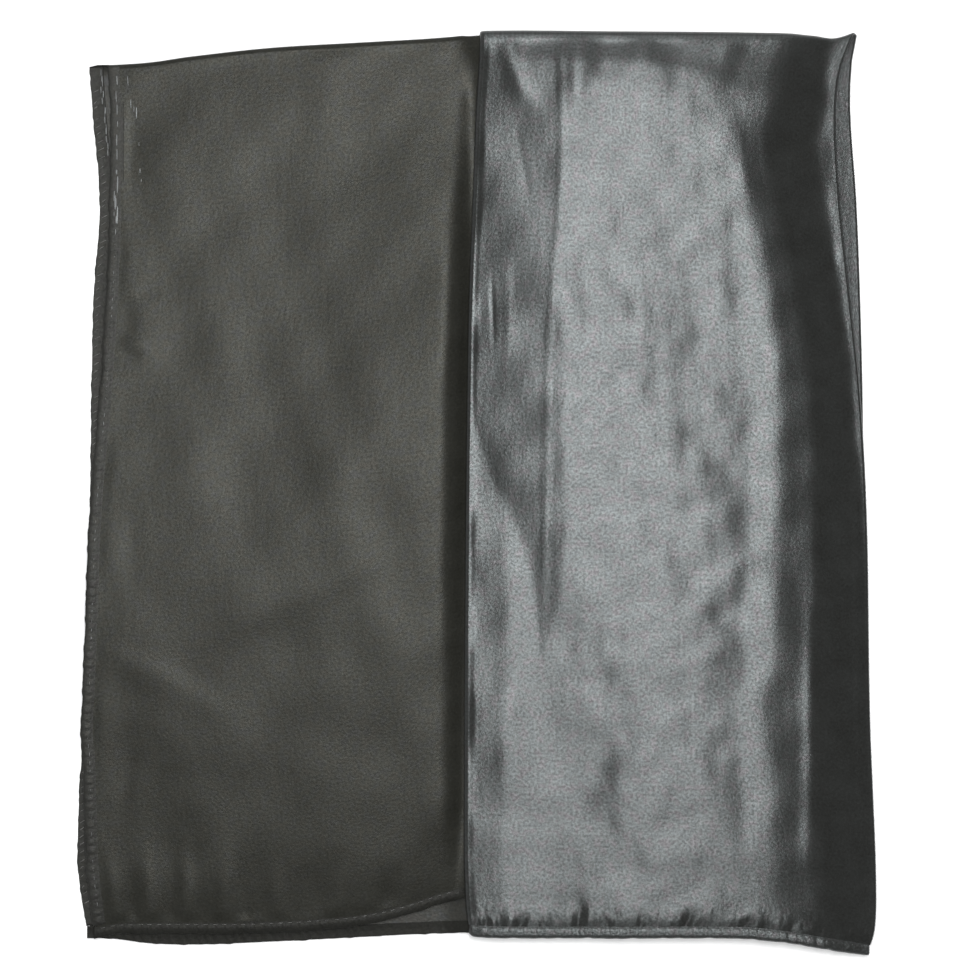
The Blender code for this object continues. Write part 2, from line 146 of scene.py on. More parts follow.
TOP = columns(
    "x y",
    (-129, 142.5), (-121.3, 142.5), (-108.1, 143.4), (-94.9, 145.3), (-68.4, 148.2),
    (-41.9, 149.8), (-15.4, 151.3), (-3.5, 152.4), (2.5, 153.6), (41, 153.5),
    (100.5, 152.9), (112, 152), (119, 151.3), (126.5, 153.6),
)
LEFT_FRONT_BOTTOM = columns(
    "x y",
    (-128.6, -147.9), (-118, -146), (-75, -145.7), (-45.2, -144), (-32, -142),
    (-22, -139.4), (-12.1, -136.1), (-2.2, -133.9), (12, -133.4), (32, -138.6),
    (52, -143.2), (75, -145), (106, -147.4),
)
FLAP_FRONT_BOTTOM = columns(
    "x y",
    (-4.2, -145.7), (1.2, -146.7), (21, -147), (87.2, -147), (97.2, -147.8),
    (107.1, -149.2), (125.3, -152.4), (132.9, -153.2),
)
BACK_BOTTOM = columns(
    "x y",
    (-131, -147.6), (-121.3, -147.8), (-108, -149.4), (-91.5, -149.7), (-58.4, -148.3),
    (-22, -146.4), (-2, -145.6), (7.8, -145.2), (21, -146.2), (87, -146.2),
    (107, -148.4), (132.9, -152.4),
)

# The rim from which the flap falls away to its right and top folds
RIM = [
    (96.5, -153), (97, -121.2), (96.5, -100), (97.5, -91.4), (93.2, -81.5), (94.5, -68.2),
    (97.2, -51.7), (98.8, -35.1), (97.2, -15.2), (98.8, 4.6), (99.8, 24.5), (99.2, 41.1),
    (97.8, 57.6), (95.5, 77.5), (92.9, 90.7), (88.9, 102.3), (83.9, 113.9), (75.7, 122.2),
    (67.4, 130.1), (58, 134), (44, 136), (20, 136.5), (-8, 137.5),
]
# The facet beside the left fold, which leans to the left: where it starts and ends at each height,
# and how high the flap has swollen before it
FACET = columns(
    "y start end near",
    (-153, 21.4, 21.5, 0.5), (-57, 21.4, 21.5, 0.54), (-50, 21, 23, 0.54),
    (-30, 18.5, 28, 0.52), (-8, 12, 30, 0.46), (6, 5, 29.5, 0.26),
    (30, -2, 29, 0.03), (90, -1.5, 28.3, 0.03), (118, -0.5, 28.6, 0.03),
    (153, 1, 28, 0.03),
)

# Slope of the flap at shares of the way from its rim to its right fold, low and high up the scarf
FALL = columns(
    "share low high",
    (0.00, 0.1, 0.1), (0.07, 0.15, 0.15), (0.14, 0.27, 0.27), (0.4, 0.36, 0.36),
    (0.5, 1.3, 1.3), (0.58, 2.2, 2.4), (0.8, 2.2, 2.4), (0.88, 1.5, 0.9),
    (0.94, 0.9, 0.12), (1.00, 0.6, 0.05),
)
STEPS = np.linspace(0, 1, 201)

# Creases follow lines of points. left and right are the widths of their flanks, seen along the
# line, start and end the shares of it over which they run out; a trough has a negative height.
Crease = namedtuple("Crease", "left right height start end line")


def creases(*rows):
    return [Crease(*row) for row in rows]


FLAP_CREASES = creases(
    # the inner flank of the rim
    (13, 6, 0.16, 0.1, 0.1, [(96.5, -139), *RIM[1:19]]),
    # a shallow trough inside it
    (6, 6, -0.22, 0.15, 0.2, [
        (88.5, -139), (88.5, -100), (85.5, -75), (88, -52), (90, -15), (91, 24.5),
        (89.5, 57.6), (84.5, 90), (75, 113)]),
    # the long pressed line near the left fold
    (1, 1, 0.05, 0.03, 0.25, [
        (27.6, 151), (28.4, 118), (26.7, 87), (25, 67.5), (23.6, 48), (23.2, 18),
        (21.4, -65)]),
    # short sharp ones beside the left fold
    (0.8, 0.8, -0.07, 0.4, 0.4, [(4.9, 74.5), (5.4, 60), (5.9, 46.5)]),
    (1.1, 1.3, 0.05, 0.4, 0.4, [(9.9, 84), (10.6, 55), (10.4, 36)]),
    (1, 1, -0.05, 0.4, 0.4, [(12.7, 126.5), (14.4, 113.9), (16.7, 102.3), (18.7, 94)]),
    # the bright streak
    (4, 4, 0.1, 0.25, 0.25, [(11.5, 0), (12.4, -30), (10.6, -112)]),
    # the hollows and peaks of the upper middle
    (7, 8, -0.34, 0.5, 0.5, [(26, 82), (38, 66), (46, 56), (54, 46)]),
    (5, 5, 0.12, 0.5, 0.5, [(44, 78), (53, 64), (56, 50)]),
    (7, 3, 0.14, 0.3, 0.4, [
        (30, 24), (35.9, 31.1), (40.9, 39.4), (50.8, 46), (60.8, 52.6), (67, 42)]),
    (10, 12, -0.3, 0.5, 0.5, [(58, 74), (71, 55), (80, 40), (84, 22)]),
    # right middle: a bright crease over a smooth hollow
    (3.4, 7.5, 0.13, 0.4, 0.4, [(73, -34), (80, -28.5), (87.2, -23.5), (98.8, -18.5)]),
    (7, 7, -0.12, 0.4, 0.4, [(78, -46), (87, -38), (96, -34)]),
    # lower part: a mottled hollow that runs down to the left
    (10, 11, -0.26, 0.4, 0.4, [(50, -60), (42.5, -81), (36, -98), (27.6, -123)]),
    (5, 5, 0.08, 0.4, 0.4, [(56, -70), (50, -92), (46, -118)]),
    (6, 6, -0.08, 0.4, 0.4, [(60, -120), (66, -100), (70, -84)]),
    (3, 3, -0.1, 0.5, 0.5, [(27.5, -48), (32.5, -54)]),
    (3, 3, -0.1, 0.5, 0.5, [(39, -57), (45, -64.5)]),
    (3, 3, -0.08, 0.5, 0.5, [(44, -45), (49, -51)]),
    # soft pleats that hang from the top fold
    (2.4, 3.6, 0.26, 0.1, 0.5, [
        (10.8, 151.5), (11.8, 143.7), (14.4, 135.4), (20, 128.5), (23.5, 125)]),
    (5, 4.2, 0.34, 0.08, 0.6, [(33.5, 152), (33, 138), (35, 118)]),
    (6, 6, -0.34, 0.1, 0.6, [(43, 152), (44, 142), (48, 134)]),
    (4, 4, 0.3, 0.1, 0.6, [(54, 152.5), (55.5, 146), (58, 139)]),
    (5, 5, 0.34, 0.3, 0.4, [(66, 151), (76, 148.5), (90, 147)]),
    # the slack right part: long soft troughs down to the corner
    (2.4, 2.4, 0.16, 0.3, 0.3, [(110.5, -20), (110.5, -90), (109.5, -138)]),
    (3, 3, 0.35, 0.3, 0.3, [(126, 20), (128, -60), (128.5, -130)]),
)
# Short puckers that run up from the flap's bottom hem
FLAP_PUCKERS = columns(
    "x y0 lean y1 width height",
    (3, -143, 1, -137, 1.6, -0.25), (8, -143, -0.5, -136, 1.7, -0.4),
    (14.4, -143.2, 1.5, -137.5, 1.8, -0.45), (22, -143.2, 0.5, -139, 1.6, -0.25),
    (33.6, -143.2, 1, -133, 2, -0.6), (43, -143.2, -1, -138, 1.8, -0.3),
    (54.1, -143.2, 2, -136, 2, -0.35), (68.4, -143.4, 4.5, -135.5, 1.9, -0.6),
    (74, -143.4, 1, -139, 1.6, -0.3), (87.9, -143.8, 3.5, -139, 1.8, -0.6),
    (96, -144.4, 1, -138.5, 1.8, -0.35), (104, -145.6, 0.5, -139, 1.8, -0.3),
    (113, -147.6, 1, -141, 1.8, -0.3), (122, -149, -1, -143, 1.8, -0.35),
)


def hem_sag(x):
    """How much lower the flap's bottom hem hangs towards its right corner."""
    return 0.004 * max(x - 90, 0) ** 1.75


chance = np.random.default_rng(8)
SMALL_PUCKERS = columns(
    "x y0 lean y1 width height",
    *[(x + chance.normal(0, 0.6), -143.2 - hem_sag(x), chance.normal(0, 1), -139.8 - hem_sag(x),
       chance.uniform(0.7, 1.1), -chance.uniform(0.08, 0.3))
      for x in np.arange(2.0, 128.0, 3.3)])
# Bits of thread beside the side hem, bright with the pale thread's painted highlight: length along it,
# share of its width, length, radius
LOOSE_DASHES = [
    (293.0, 1.38, 3.4, 0.14), (285.0, 1.52, 3.0, 0.14), (281.2, 1.92, 4.0, 0.17),
    (283.6, 1.74, 2.0, 0.12), (262.0, 2.20, 1.6, 0.18), (258.8, 2.30, 1.1, 0.14),
    (271.5, 2.10, 1.3, 0.10), (255.4, 0.56, 6.0, 0.26), (249.2, 0.42, 5.6, 0.28),
    (244.4, 0.60, 6.4, 0.28), (252.4, 0.33, 4.0, 0.20), (246.2, 0.35, 3.6, 0.20),
]
LEFT_CREASES = creases(
    (7, 7, 0.32, 0.3, 0.3, [(-97, -53), (-62, -34), (-23, -17.5)]),
    (9, 9, -0.16, 0.3, 0.3, [(-88, -70), (-55, -52), (-30, -40)]),
    (4.5, 6.5, 0.22, 0.2, 0.3, [(-127, -51), (-104, -61), (-80, -75.5)]),
    (4.8, 4.8, 0.16, 0.4, 0.5, [(-122, 49), (-112, 46.5), (-101, 44)]),
    (2.2, 2.2, -0.17, 0.4, 0.5, [(-120, 47.4), (-114, 46), (-109, 45.6)]),
    (1.9, 1.9, 0.11, 0.4, 0.5, [(-119, 50.6), (-111, 49.4), (-106, 49.6)]),
    (3, 3, -0.16, 0.5, 0.5, [(-116.5, 72), (-116, 48)]),
    (2.2, 2.2, -0.11, 0.4, 0.5, [(-115, 66.8), (-104, 66.2)]),
    (12, 12, 0.3, 0.3, 0.3, [(-60, 132), (-40, 127), (-22, 120)]),
    # hollows beside the side hem
    (4, 5, -0.3, 0.5, 0.5, [(-114.5, -70), (-116.5, -94), (-118.5, -120)]),
    (3.5, 4, -0.16, 0.5, 0.5, [(-114, 0), (-115, -36)]),
    # streaks that run up from the bottom hem
    (2.4, 2.4, 0.34, 0.1, 0.8, [(-119.5, -143), (-123, -112)]),
    (2.2, 2.2, -0.26, 0.1, 0.8, [(-113, -143), (-116, -116)]),
    (2.2, 2.2, 0.32, 0.1, 0.8, [(-108.5, -143), (-110, -114)]),
    (2.4, 2.4, -0.24, 0.1, 0.8, [(-102, -143), (-99, -122)]),
    (2.6, 2.6, 0.34, 0.1, 0.8, [(-96, -143), (-97.5, -106)]),
    (3, 3, 0.24, 0.1, 0.8, [(-84, -142.5), (-83, -110)]),
    (2.8, 2.8, -0.2, 0.1, 0.8, [(-77, -142.5), (-76, -120)]),
    (2.8, 2.8, 0.22, 0.1, 0.8, [(-66, -142.5), (-68, -112)]),
    (2.8, 2.8, 0.22, 0.1, 0.8, [(-48, -141.5), (-43, -118)]),
    (3, 3, -0.2, 0.1, 0.8, [(-31, -139), (-24, -118)]),
)
# The back lies flat, so its creases are troughs, which lift off the floor
FLAP_BACK_CREASES = creases(
    (5, 5, -0.45, 0.3, 0.3, [(30, 118), (26, 40), (24, -30)]),
    (4, 6, -0.5, 0.3, 0.3, [(52, 70), (70, 44), (92, 30)]),
    (6, 5, -0.45, 0.3, 0.3, [(40, -122), (58, -86), (62, -50)]),
    (3, 3, -0.35, 0.3, 0.3, [(88, -140), (92, -112)]),
    (4, 4, -0.35, 0.3, 0.3, [(108, 90), (112, 20), (110, -60)]),
)
LEFT_BACK_CREASES = creases(
    (6, 6, -0.45, 0.3, 0.3, [(-108, 60), (-70, 38), (-30, 34)]),
    (5, 7, -0.4, 0.3, 0.3, [(-116, -30), (-84, -62), (-50, -76)]),
    (3, 3, -0.35, 0.3, 0.3, [(-100, -140), (-97, -120)]),
    (3, 3, -0.35, 0.3, 0.3, [(-48, -138), (-42, -118)]),
)


def smooth(t):
    """0 to 1 with soft ends."""
    t = np.clip(t, 0.0, 1.0)
    return t * t * (3 - 2 * t)


def mix(a, b, share):
    return a + (b - a) * share


def bell(x):
    return np.exp(-x * x)


def read(table, key, column, at):
    """A column of a table at places between its rows, on a smooth curve through them."""
    keys, values = table[key], table[column]
    at = np.clip(at, keys[0], keys[-1])
    i = np.clip(np.searchsorted(keys, at, side="right") - 1, 0, len(keys) - 2)
    slope = np.empty_like(values)
    slope[1:-1] = (values[2:] - values[:-2]) / (keys[2:] - keys[:-2])
    slope[0] = (values[1] - values[0]) / (keys[1] - keys[0])
    slope[-1] = (values[-1] - values[-2]) / (keys[-1] - keys[-2])
    span = keys[i + 1] - keys[i]
    t = (at - keys[i]) / span
    start = values[i] * (1 + 2 * t) * (1 - t) ** 2 + slope[i] * span * t * (1 - t) ** 2
    end = values[i + 1] * t * t * (3 - 2 * t) - slope[i + 1] * span * t * t * (1 - t)
    return start + end


def edge(column, y):
    return read(EDGES, "y", column, y)


def bottom_edge(table, x):
    return read(table, "x", "y", x)


def bundle_outside(x, y):
    """Level of the back's outer face, lower near its right fold, where no hidden plies lie inside."""
    into = x - edge("right_back", y) + SLOPE_WIDTH + SLOPE_END
    return FLAP_OUTSIDE - (FLAP_LEVEL - TUCKED_LEVEL) * smooth(into / SLOPE_WIDTH)


def front_fall(x, y):
    """How much lower the flap's outer face is on the front, towards its right fold."""
    width = mix(FALL_WIDTH, TOP_FALL_WIDTH, smooth((y - 114) / 22))
    share = (x - edge("right_front", y) + width) / width
    return (FLAP_LEVEL - TUCKED_LEVEL) * fall(share, y)


def ramp(x, y):
    """How far the left stretch has risen from the floor to the bundle, from 0 to 1."""
    passed = ease(x, edge("fold", y) - RAMP_WIDTH, edge("fold", y) + 0.5, 0.8)
    return np.clip(passed / (RAMP_WIDTH + 0.5), 0, 1) ** RAMP_STEEPENING


def resting(x, y):
    """Height of the middle plane where the back half lies flat on the floor."""
    return mix(BASE_OUTSIDE, bundle_outside(x, y), ramp(x, y))


def front_lift(x, y):
    """Air under the front half of the left stretch: most halfway up, none at its hem and top."""
    low = bottom_edge(LEFT_FRONT_BOTTOM, x)
    rightward = smooth((x + 80) / 75)
    start = mix(AIR_SLOPE_START, RIGHT_SLOPE_START, rightward)
    climbed = np.clip((y - low) / (start - low), 0, 1)
    lift = mix(LEFT_AIR_LIFT, RIGHT_AIR_LIFT, rightward) * (1 - (1 - climbed) ** AIR_BEND)
    width = mix(HEM_DROP_WIDTH, RIGHT_DROP_WIDTH, rightward)
    drop = mix(HEM_DROP, RIGHT_HEM_DROP, rightward)
    drop = drop * (1 - (1 - np.clip((y - low) / width, 0, 1)) ** 2)
    fade = mix(AIR_TOP_FADE, RIGHT_TOP_FADE, rightward)
    return (lift + drop) * smooth((fold_axis(x) - y) / fade)


def fold_dip(x, y):
    """How far the front of the left stretch dips beside the flap's left fold."""
    above_hem = smooth((y - bottom_edge(LEFT_FRONT_BOTTOM, x)) / 30)
    dip = bell((x - edge("fold", y) - 0.3) / DIP_WIDTH) * smooth((fold_axis(x) - y) / 24)
    return DIP_DEPTH * dip * mix(0.75, 1, above_hem)


def middle(x, y):
    """Height of the middle plane under the front half, which lies on the back's hems."""
    single = BASE_OUTSIDE + HEM_RISE + front_lift(x, y)
    return mix(single, FLAP_OUTSIDE - front_fall(x, y), ramp(x, y))


def fold_axis(x):
    """Height up the scarf of the line round which everything is folded in half."""
    share = smooth((x - AXIS_FADE_START) / AXIS_FADE)
    outside = mix(BASE_OUTSIDE, bundle_outside(x, HALF_HEIGHT / 2), share)
    return read(TOP, "x", "y", x) - TOP_SQUASH * outside


def beside(line, x, y):
    """Signed distance from a line of points, left of it positive, and the share of it passed."""
    best = np.full(np.broadcast(x, y).shape, np.inf)
    side, passed = np.zeros_like(best), np.zeros_like(best)
    lengths = [math.dist(a, b) for a, b in zip(line, line[1:])]
    done, whole = 0.0, sum(lengths)
    for (x0, y0), (x1, y1), length in zip(line, line[1:], lengths):
        dx, dy = (x1 - x0) / length, (y1 - y0) / length
        t = np.clip((x - x0) * dx + (y - y0) * dy, 0, length)
        away = np.hypot(x - x0 - dx * t, y - y0 - dy * t)
        nearer = away < best
        best = np.where(nearer, away, best)
        side = np.where(nearer, np.sign(dx * (y - y0) - dy * (x - x0)), side)
        passed = np.where(nearer, (done + t) / whole, passed)
        done += length
    return best * side, passed


def relief(creases, x, y):
    """Height of the creases at places: soft across, running out towards both ends."""
    total = np.zeros(np.broadcast(x, y).shape)
    for crease in creases:
        side, passed = beside(crease.line, x, y)
        across = side / np.where(side > 0, crease.left, crease.right)
        ends = smooth(passed / crease.start) * smooth((1 - passed) / crease.end)
        total += crease.height * bell(across) * ends
    return total


def puckers(table, x, y):
    total = np.zeros(np.broadcast(x, y).shape)
    for x0, y0, lean, y1, width, height in zip(*table.values()):
        up = (y - y0) / (y1 - y0)
        across = (x - x0 - lean * up) / (width * (0.6 + 0.7 * np.clip(up, 0, 1)))
        total += height * bell(across) * smooth(4 * up + 1) * smooth(1 - up)
    return total


def unevenness(x, y, seed, waves=14, shortest=13.0, longest=60.0, height=0.055):
    """Slight undulation of laid cloth, as a sum of waves in all directions."""
    rng = np.random.default_rng(seed)
    total = np.zeros(np.broadcast(x, y).shape)
    for _ in range(waves):
        length = shortest * (longest / shortest) ** rng.random()
        way, phase = rng.random(2) * 2 * np.pi
        swing = np.sin((x * np.cos(way) + y * np.sin(way)) * 2 * np.pi / length + phase)
        total += swing * height * math.sqrt(length / shortest)
    return total


def fall(share, y, shift=1.0):
    """How far the flap has fallen at a share of the way from its rim to a fold. Its upper part is
    steepest halfway, its lower part further on and less flat at the fold."""
    earlier = FALL_SHIFT * (smooth((y - 30) / 85) - 1.3 * smooth((y - 116) / 16))
    at = np.clip(share, 0, 1) ** (1 - shift * earlier)
    fallen = [np.interp(at, STEPS, np.cumsum(slopes) / np.sum(slopes))
              for slopes in (np.interp(STEPS, FALL["share"], FALL["low"]),
                             np.interp(STEPS, FALL["share"], FALL["high"]))]
    return mix(fallen[0], fallen[1], smooth((y + 45) / 55))


def ease(x, start, end, softness=1.2):
    """Length of a span from start to end that has been passed at x, with soft ends."""
    def passed(u):
        return (u + np.sqrt(u * u + softness * softness)) / 2
    return passed(x - start) - passed(x - end)


def crown(x, y):
    """The flap's swell over the hidden plies: flat inside its rim, with a facet at its left."""
    to_edge = np.maximum(np.minimum(edge("right_front", y) - x, fold_axis(x) - y), 0)
    outside = np.maximum(-beside(RIM, x, y)[0], 0)
    flat = 1 - fall(outside / (outside + to_edge + 0.01), y, smooth((x - 85) / 15))
    fold = edge("fold", y) + 0.8
    start, end, near = [read(FACET, "y", column, y) for column in ("start", "end", "near")]
    rest = np.maximum(CROWN_HEIGHT - near - FACET_SLOPE * (end - start), 0)
    left = near * ease(x, fold, NEAR_FOLD) / (NEAR_FOLD - fold)
    left = np.where(x > fold, left, 0) + FACET_SLOPE * ease(x, start, end)
    left = left + rest * ease(x, REST_START, REST_END, 4.0) / (REST_END - REST_START)
    bottom = smooth((y - bottom_edge(FLAP_FRONT_BOTTOM, x)) / CROWN_BOTTOM_FALL)
    return flat * left * smooth((x - fold) / 2.5) * mix(CROWN_AT_HEM, 1, bottom)


def flap_level(x, y, share):
    """Level of the flap's outer face; share goes from 0 on the front to 1 on the back."""
    front = FLAP_OUTSIDE - front_fall(x, y)
    back = bundle_outside(x, y)
    sides = smooth((x - edge("fold", y) - 2 * PLY) / CREASE_FADE)
    sides *= smooth((edge("right_front", y) - x - 2 * PLY) / CREASE_FADE)
    top = fold_axis(x) - y
    beside_fold = smooth((x - edge("fold", y) - PLY) / 3.0)
    soft = relief(FLAP_CREASES, x, y) + unevenness(x, y, 3, height=0.016)
    inner = smooth((x - MOTTLE_START) / 9) * smooth((MOTTLE_END - x) / 12)
    soft += inner * unevenness(x, y, 7, 18, 7.0, 18.0, height=0.0055)
    soft = soft * beside_fold * smooth((edge("right_front", y) - x - PLY) / 4) * smooth(top / 3)
    soft += (puckers(FLAP_PUCKERS, x, y) + puckers(SMALL_PUCKERS, x, y)) * beside_fold
    under = relief(FLAP_BACK_CREASES, x, y) * sides * smooth(top / CREASE_FADE)
    swell = crown(x, y) + soft
    return mix(front, back, share) + swell * (1 - share) + under * (share == 1)


def left_lift(x, y):
    """Creases of the front ply of the left stretch."""
    beside_hem = smooth((x - edge("left_front", y) - SIDE_HEM_WIDTH + 1) / 4)
    beside_hem *= smooth((edge("fold", y) - x) / 6)
    beside_hem *= smooth((y - bottom_edge(LEFT_FRONT_BOTTOM, x) - BOTTOM_HEM_WIDTH + 1) / 4)
    beside_hem *= smooth((fold_axis(x) - y) / 5)
    creased = relief(LEFT_CREASES, x, y) + unevenness(x, y, 5, height=0.022)
    return creased * beside_hem - fold_dip(x, y)


# A row is one place up the scarf: share runs from 0 at the front's bottom edge, over the fold, to
# 1 at the back's; climb is how far up its half it lies and turn its angle round the fold.
Rows = namedtuple("Rows", "share climb turn")


def rows_over(front, back):
    """Rows up the front by its climbs, over the fold and down the back by its climbs."""
    turns = np.arange(1, FOLD_STEPS) / FOLD_STEPS
    share = np.concatenate([np.zeros(len(front)), turns, np.ones(len(back))])
    climb = np.concatenate([front, np.ones(len(turns)), back])
    turn = 90 - 180 * share
    return Rows(share[:, None], climb[:, None], turn[:, None])


def row_height(rows, bottoms, x, margin):
    axis = fold_axis(x)
    front, back = [mix(bottom_edge(table, x) + margin, axis, rows.climb) for table in bottoms]
    return np.where(rows.share == 0, front, np.where(rows.share == 1, back, axis))


def joined(*parts):
    """Arrays as the last axis of one."""
    return np.stack(np.broadcast_arrays(*parts), axis=-1)


def put(rows, x, y, level):
    """World places of points at levels of rows."""
    turn = np.radians(rows.turn)
    over = (rows.share > 0) & (rows.share < 1)
    centre = mix(middle(x, y), resting(x, y), rows.share)
    z = np.maximum(np.where(rows.share == 1, centre - level, centre + level * np.sin(turn)), 0)
    y = y + over * TOP_SQUASH * level * np.cos(turn)
    return joined(x, y, z)


def flap_path(rows, depth, top_columns, fold_columns, end_columns, margin):
    """X and level of the flap's ply along its section: tucked end, left fold, face, right fold,
    returned end, at a depth below its outer face."""
    left = edge("fold", row_height(rows, FLAP_BOTTOMS, LEFT_FOLD_X, margin)) + OUTER_RADIUS
    y = row_height(rows, FLAP_BOTTOMS, RIGHT_FOLD_X, margin)
    right = mix(edge("right_front", y), edge("right_back", y), rows.share)
    right = right - FOLD_SQUASH * OUTER_RADIUS
    radius = OUTER_RADIUS - depth
    ends = np.linspace(0, 1, end_columns)[None]
    x = [mix(TUCKED_END, left + FOLD_STRAIGHT, ends)]
    n = [TUCKED_LEVEL - PLY / 2 + depth + 0 * x[0]]
    turn = np.radians(270 - 180 * np.arange(fold_columns) / fold_columns)[None]
    centre = (TUCKED_LEVEL + FLAP_LEVEL) / 2
    x.append(left + radius * np.cos(turn))
    n.append(centre + radius * np.sin(turn) + 0 * left)
    shares = np.linspace(0, 1, top_columns)
    dense = 0.5 * np.linspace(0, DENSE_SHARE, DENSE_COLUMNS, endpoint=False)
    shares = np.concatenate([dense, mix(dense[-1], 1 - dense[-1], shares)[1:-1], 1 - dense[::-1]])
    face = mix(left, right, shares[None])
    x.append(face)
    n.append(flap_level(face, row_height(rows, FLAP_BOTTOMS, face, margin), rows.share) - depth)
    turn = np.radians(90 - 180 * np.arange(1, fold_columns + 1) / fold_columns)[None]
    centre = (BASE_LEVEL + TUCKED_LEVEL) / 2
    x.append(right + FOLD_SQUASH * radius * np.cos(turn))
    n.append(centre + radius * np.sin(turn) + 0 * right)
    x.append(mix(right - FOLD_STRAIGHT, RETURN_END, ends))
    n.append(BASE_LEVEL - PLY / 2 + depth + 0 * x[-1])
    return np.concatenate(x, axis=1), np.concatenate(n, axis=1)


def placed(name, data):
    """A new object in the scene."""
    thing = bpy.data.objects.new(name, data)
    bpy.context.scene.collection.objects.link(thing)
    return thing


def to_mesh(name, points, faces, cloth, materials, of_face=None, crisp=True):
    """An object from points, faces and each point's place on the flat square of cloth."""
    corners = points[np.array([f[:3] for f in faces])]
    volume = np.einsum("ij,ij->i", corners[:, 0], np.cross(corners[:, 1], corners[:, 2])).sum()
    if volume < 0:
        faces = [f[::-1] for f in faces]
    mesh = bpy.data.meshes.new(name)
    mesh.from_pydata(((points - CENTRE) * MM).tolist(), [], faces)
    layer = mesh.uv_layers.new(name="cloth")
    used = np.array([i for f in faces for i in f])
    layer.data.foreach_set("uv", (cloth[used] / SQUARE_SIDE).astype(np.float32).ravel())
    mesh.shade_smooth()
    if crisp:
        mesh.set_sharp_from_angle(angle=math.radians(60))
    for material in materials:
        mesh.materials.append(material)
    if of_face is not None:
        mesh.polygons.foreach_set("material_index", of_face)
    return placed(name, mesh)


def quads(a):
    """Faces between neighbouring rows and columns of a grid of point numbers."""
    return np.stack([a[:-1, :-1], a[:-1, 1:], a[1:, 1:], a[1:, :-1]], axis=-1).reshape(-1, 4)


def shell(name, outer, inner, cloth, face, reverse):
    """A thin closed sheet between two grids of points, rows by columns, and its two materials."""
    r, c = outer.shape[:2]
    a = np.arange(r * c).reshape(r, c)
    b = a + r * c
    faces = [quads(a), quads(b)[:, [0, 3, 2, 1]]]
    for rim, low in ((a[:, 0], b[:, 0]), (a[::-1, -1], b[::-1, -1]),
                     (a[0, ::-1], b[0, ::-1]), (a[-1], b[-1])):
        faces.append(np.stack([rim[:-1], rim[1:], low[1:], low[:-1]], axis=-1))
    points = np.concatenate([outer.reshape(-1, 3), inner.reshape(-1, 3)])
    flat = joined(*cloth).reshape(-1, 2)
    of_face = np.repeat([0, 1, 0, 0, 0, 0], [len(part) for part in faces])
    faces = np.concatenate(faces).tolist()
    return to_mesh(name, points, faces, np.concatenate([flat, flat]), (face, reverse), of_face)


def strip(name, rings, cloth, material):
    """A closed bar through rings of points."""
    n, k = rings.shape[:2]
    a = np.arange(n * k).reshape(n, k)
    faces = quads(np.concatenate([a, a[:, :1]], axis=1)).tolist()
    faces += [a[0, ::-1].tolist(), a[-1].tolist()]
    flat = joined(*cloth).reshape(-1, 2)
    return to_mesh(name, rings.reshape(-1, 3), faces, flat, [material], crisp=False)


def passed_along(x, n):
    """Length of cloth along a section, measured on its middle row."""
    row = x.shape[0] // 2
    steps = np.hypot(np.diff(x[row]), np.diff(n[row]))
    return np.concatenate([[0], np.cumsum(steps)])[None]


def cloth_up(rows):
    """How far up the unfolded square a row lies."""
    return HALF_HEIGHT * np.where(rows.share < 0.5, rows.climb, 2 - rows.climb)


HALVES = ("front", "back")
FLAP_BOTTOMS = (FLAP_FRONT_BOTTOM, BACK_BOTTOM)
LEFT_BOTTOMS = (LEFT_FRONT_BOTTOM, BACK_BOTTOM)
DENSE_SHARE, DENSE_COLUMNS = 0.14, 24
FLAP_MARGIN = 3.5
LEFT_MARGIN = 1.0
FOLD_SIDE = -20.0
HEM_TUCK = 0.25
HEM_TURNS, HEM_ENDS = 12, 8


def make_flap(face, reverse):
    spacing = 1.1
    front = np.linspace(0.05, 1, int(HALF_HEIGHT / spacing / 1.5))
    front = np.concatenate([np.linspace(0, 0.05, 18, endpoint=False), front])
    rows = rows_over(front, np.linspace(1, 0, 40))
    y_tuck = HEM_TUCK * bell(rows.climb * HALF_HEIGHT / 1.2)
    layers = []
    for depth in (0.0, SATIN):
        x, n = flap_path(rows, depth + y_tuck, int(118 / spacing), 7, 5, FLAP_MARGIN)
        y = row_height(rows, FLAP_BOTTOMS, x, FLAP_MARGIN)
        layers.append(put(rows, x, y, n))
    along = passed_along(x, n)
    cloth = (RETURN_END - edge("left_front", 0.0) + along[0, -1] - along, cloth_up(rows))
    return shell("flap_satin", layers[0], layers[1], cloth, face, reverse)


def left_edge(rows, margin):
    y = row_height(rows, LEFT_BOTTOMS, SIDE_HEM_X, margin)
    return mix(edge("left_front", y), edge("left_back", y), rows.share)


def make_left(face, reverse):
    spacing = 1.3
    front = np.linspace(0, 1, int(HALF_HEIGHT / spacing))
    rows = rows_over(front, np.linspace(1, 0, 60))
    left = left_edge(rows, LEFT_MARGIN) + 1.2
    x = np.concatenate([
        mix(left, FOLD_SIDE, np.linspace(0, 1, int(110 / spacing), endpoint=False)[None]),
        mix(FOLD_SIDE, TUCKED_END, np.linspace(0, 1, int(52 / spacing))[None]) + 0 * left,
        mix(TUCKED_END, RETURN_END - 0.6, np.linspace(0, 1, 16)[None, 1:]) + 0 * left], axis=1)
    y = row_height(rows, LEFT_BOTTOMS, x, LEFT_MARGIN)
    lift = left_lift(x, y) * (1 - rows.share)
    lift = lift + relief(LEFT_BACK_CREASES, x, y) * (rows.share == 1)
    level = mix(BASE_OUTSIDE, 0.85, smooth((x - TUCKED_END) / 14)) + lift
    hem = smooth((TUCKED_END + 6 - x) / 4)
    below = SATIN + 0.30 * (1 - hem) * bell(np.maximum(rows.climb * HALF_HEIGHT - 3, 0) / 0.8)
    outer, inner = put(rows, x, y, level), put(rows, x, y, level - below)
    cloth = (x - left, cloth_up(rows))
    return shell("left_satin", outer, inner, cloth, face, reverse)


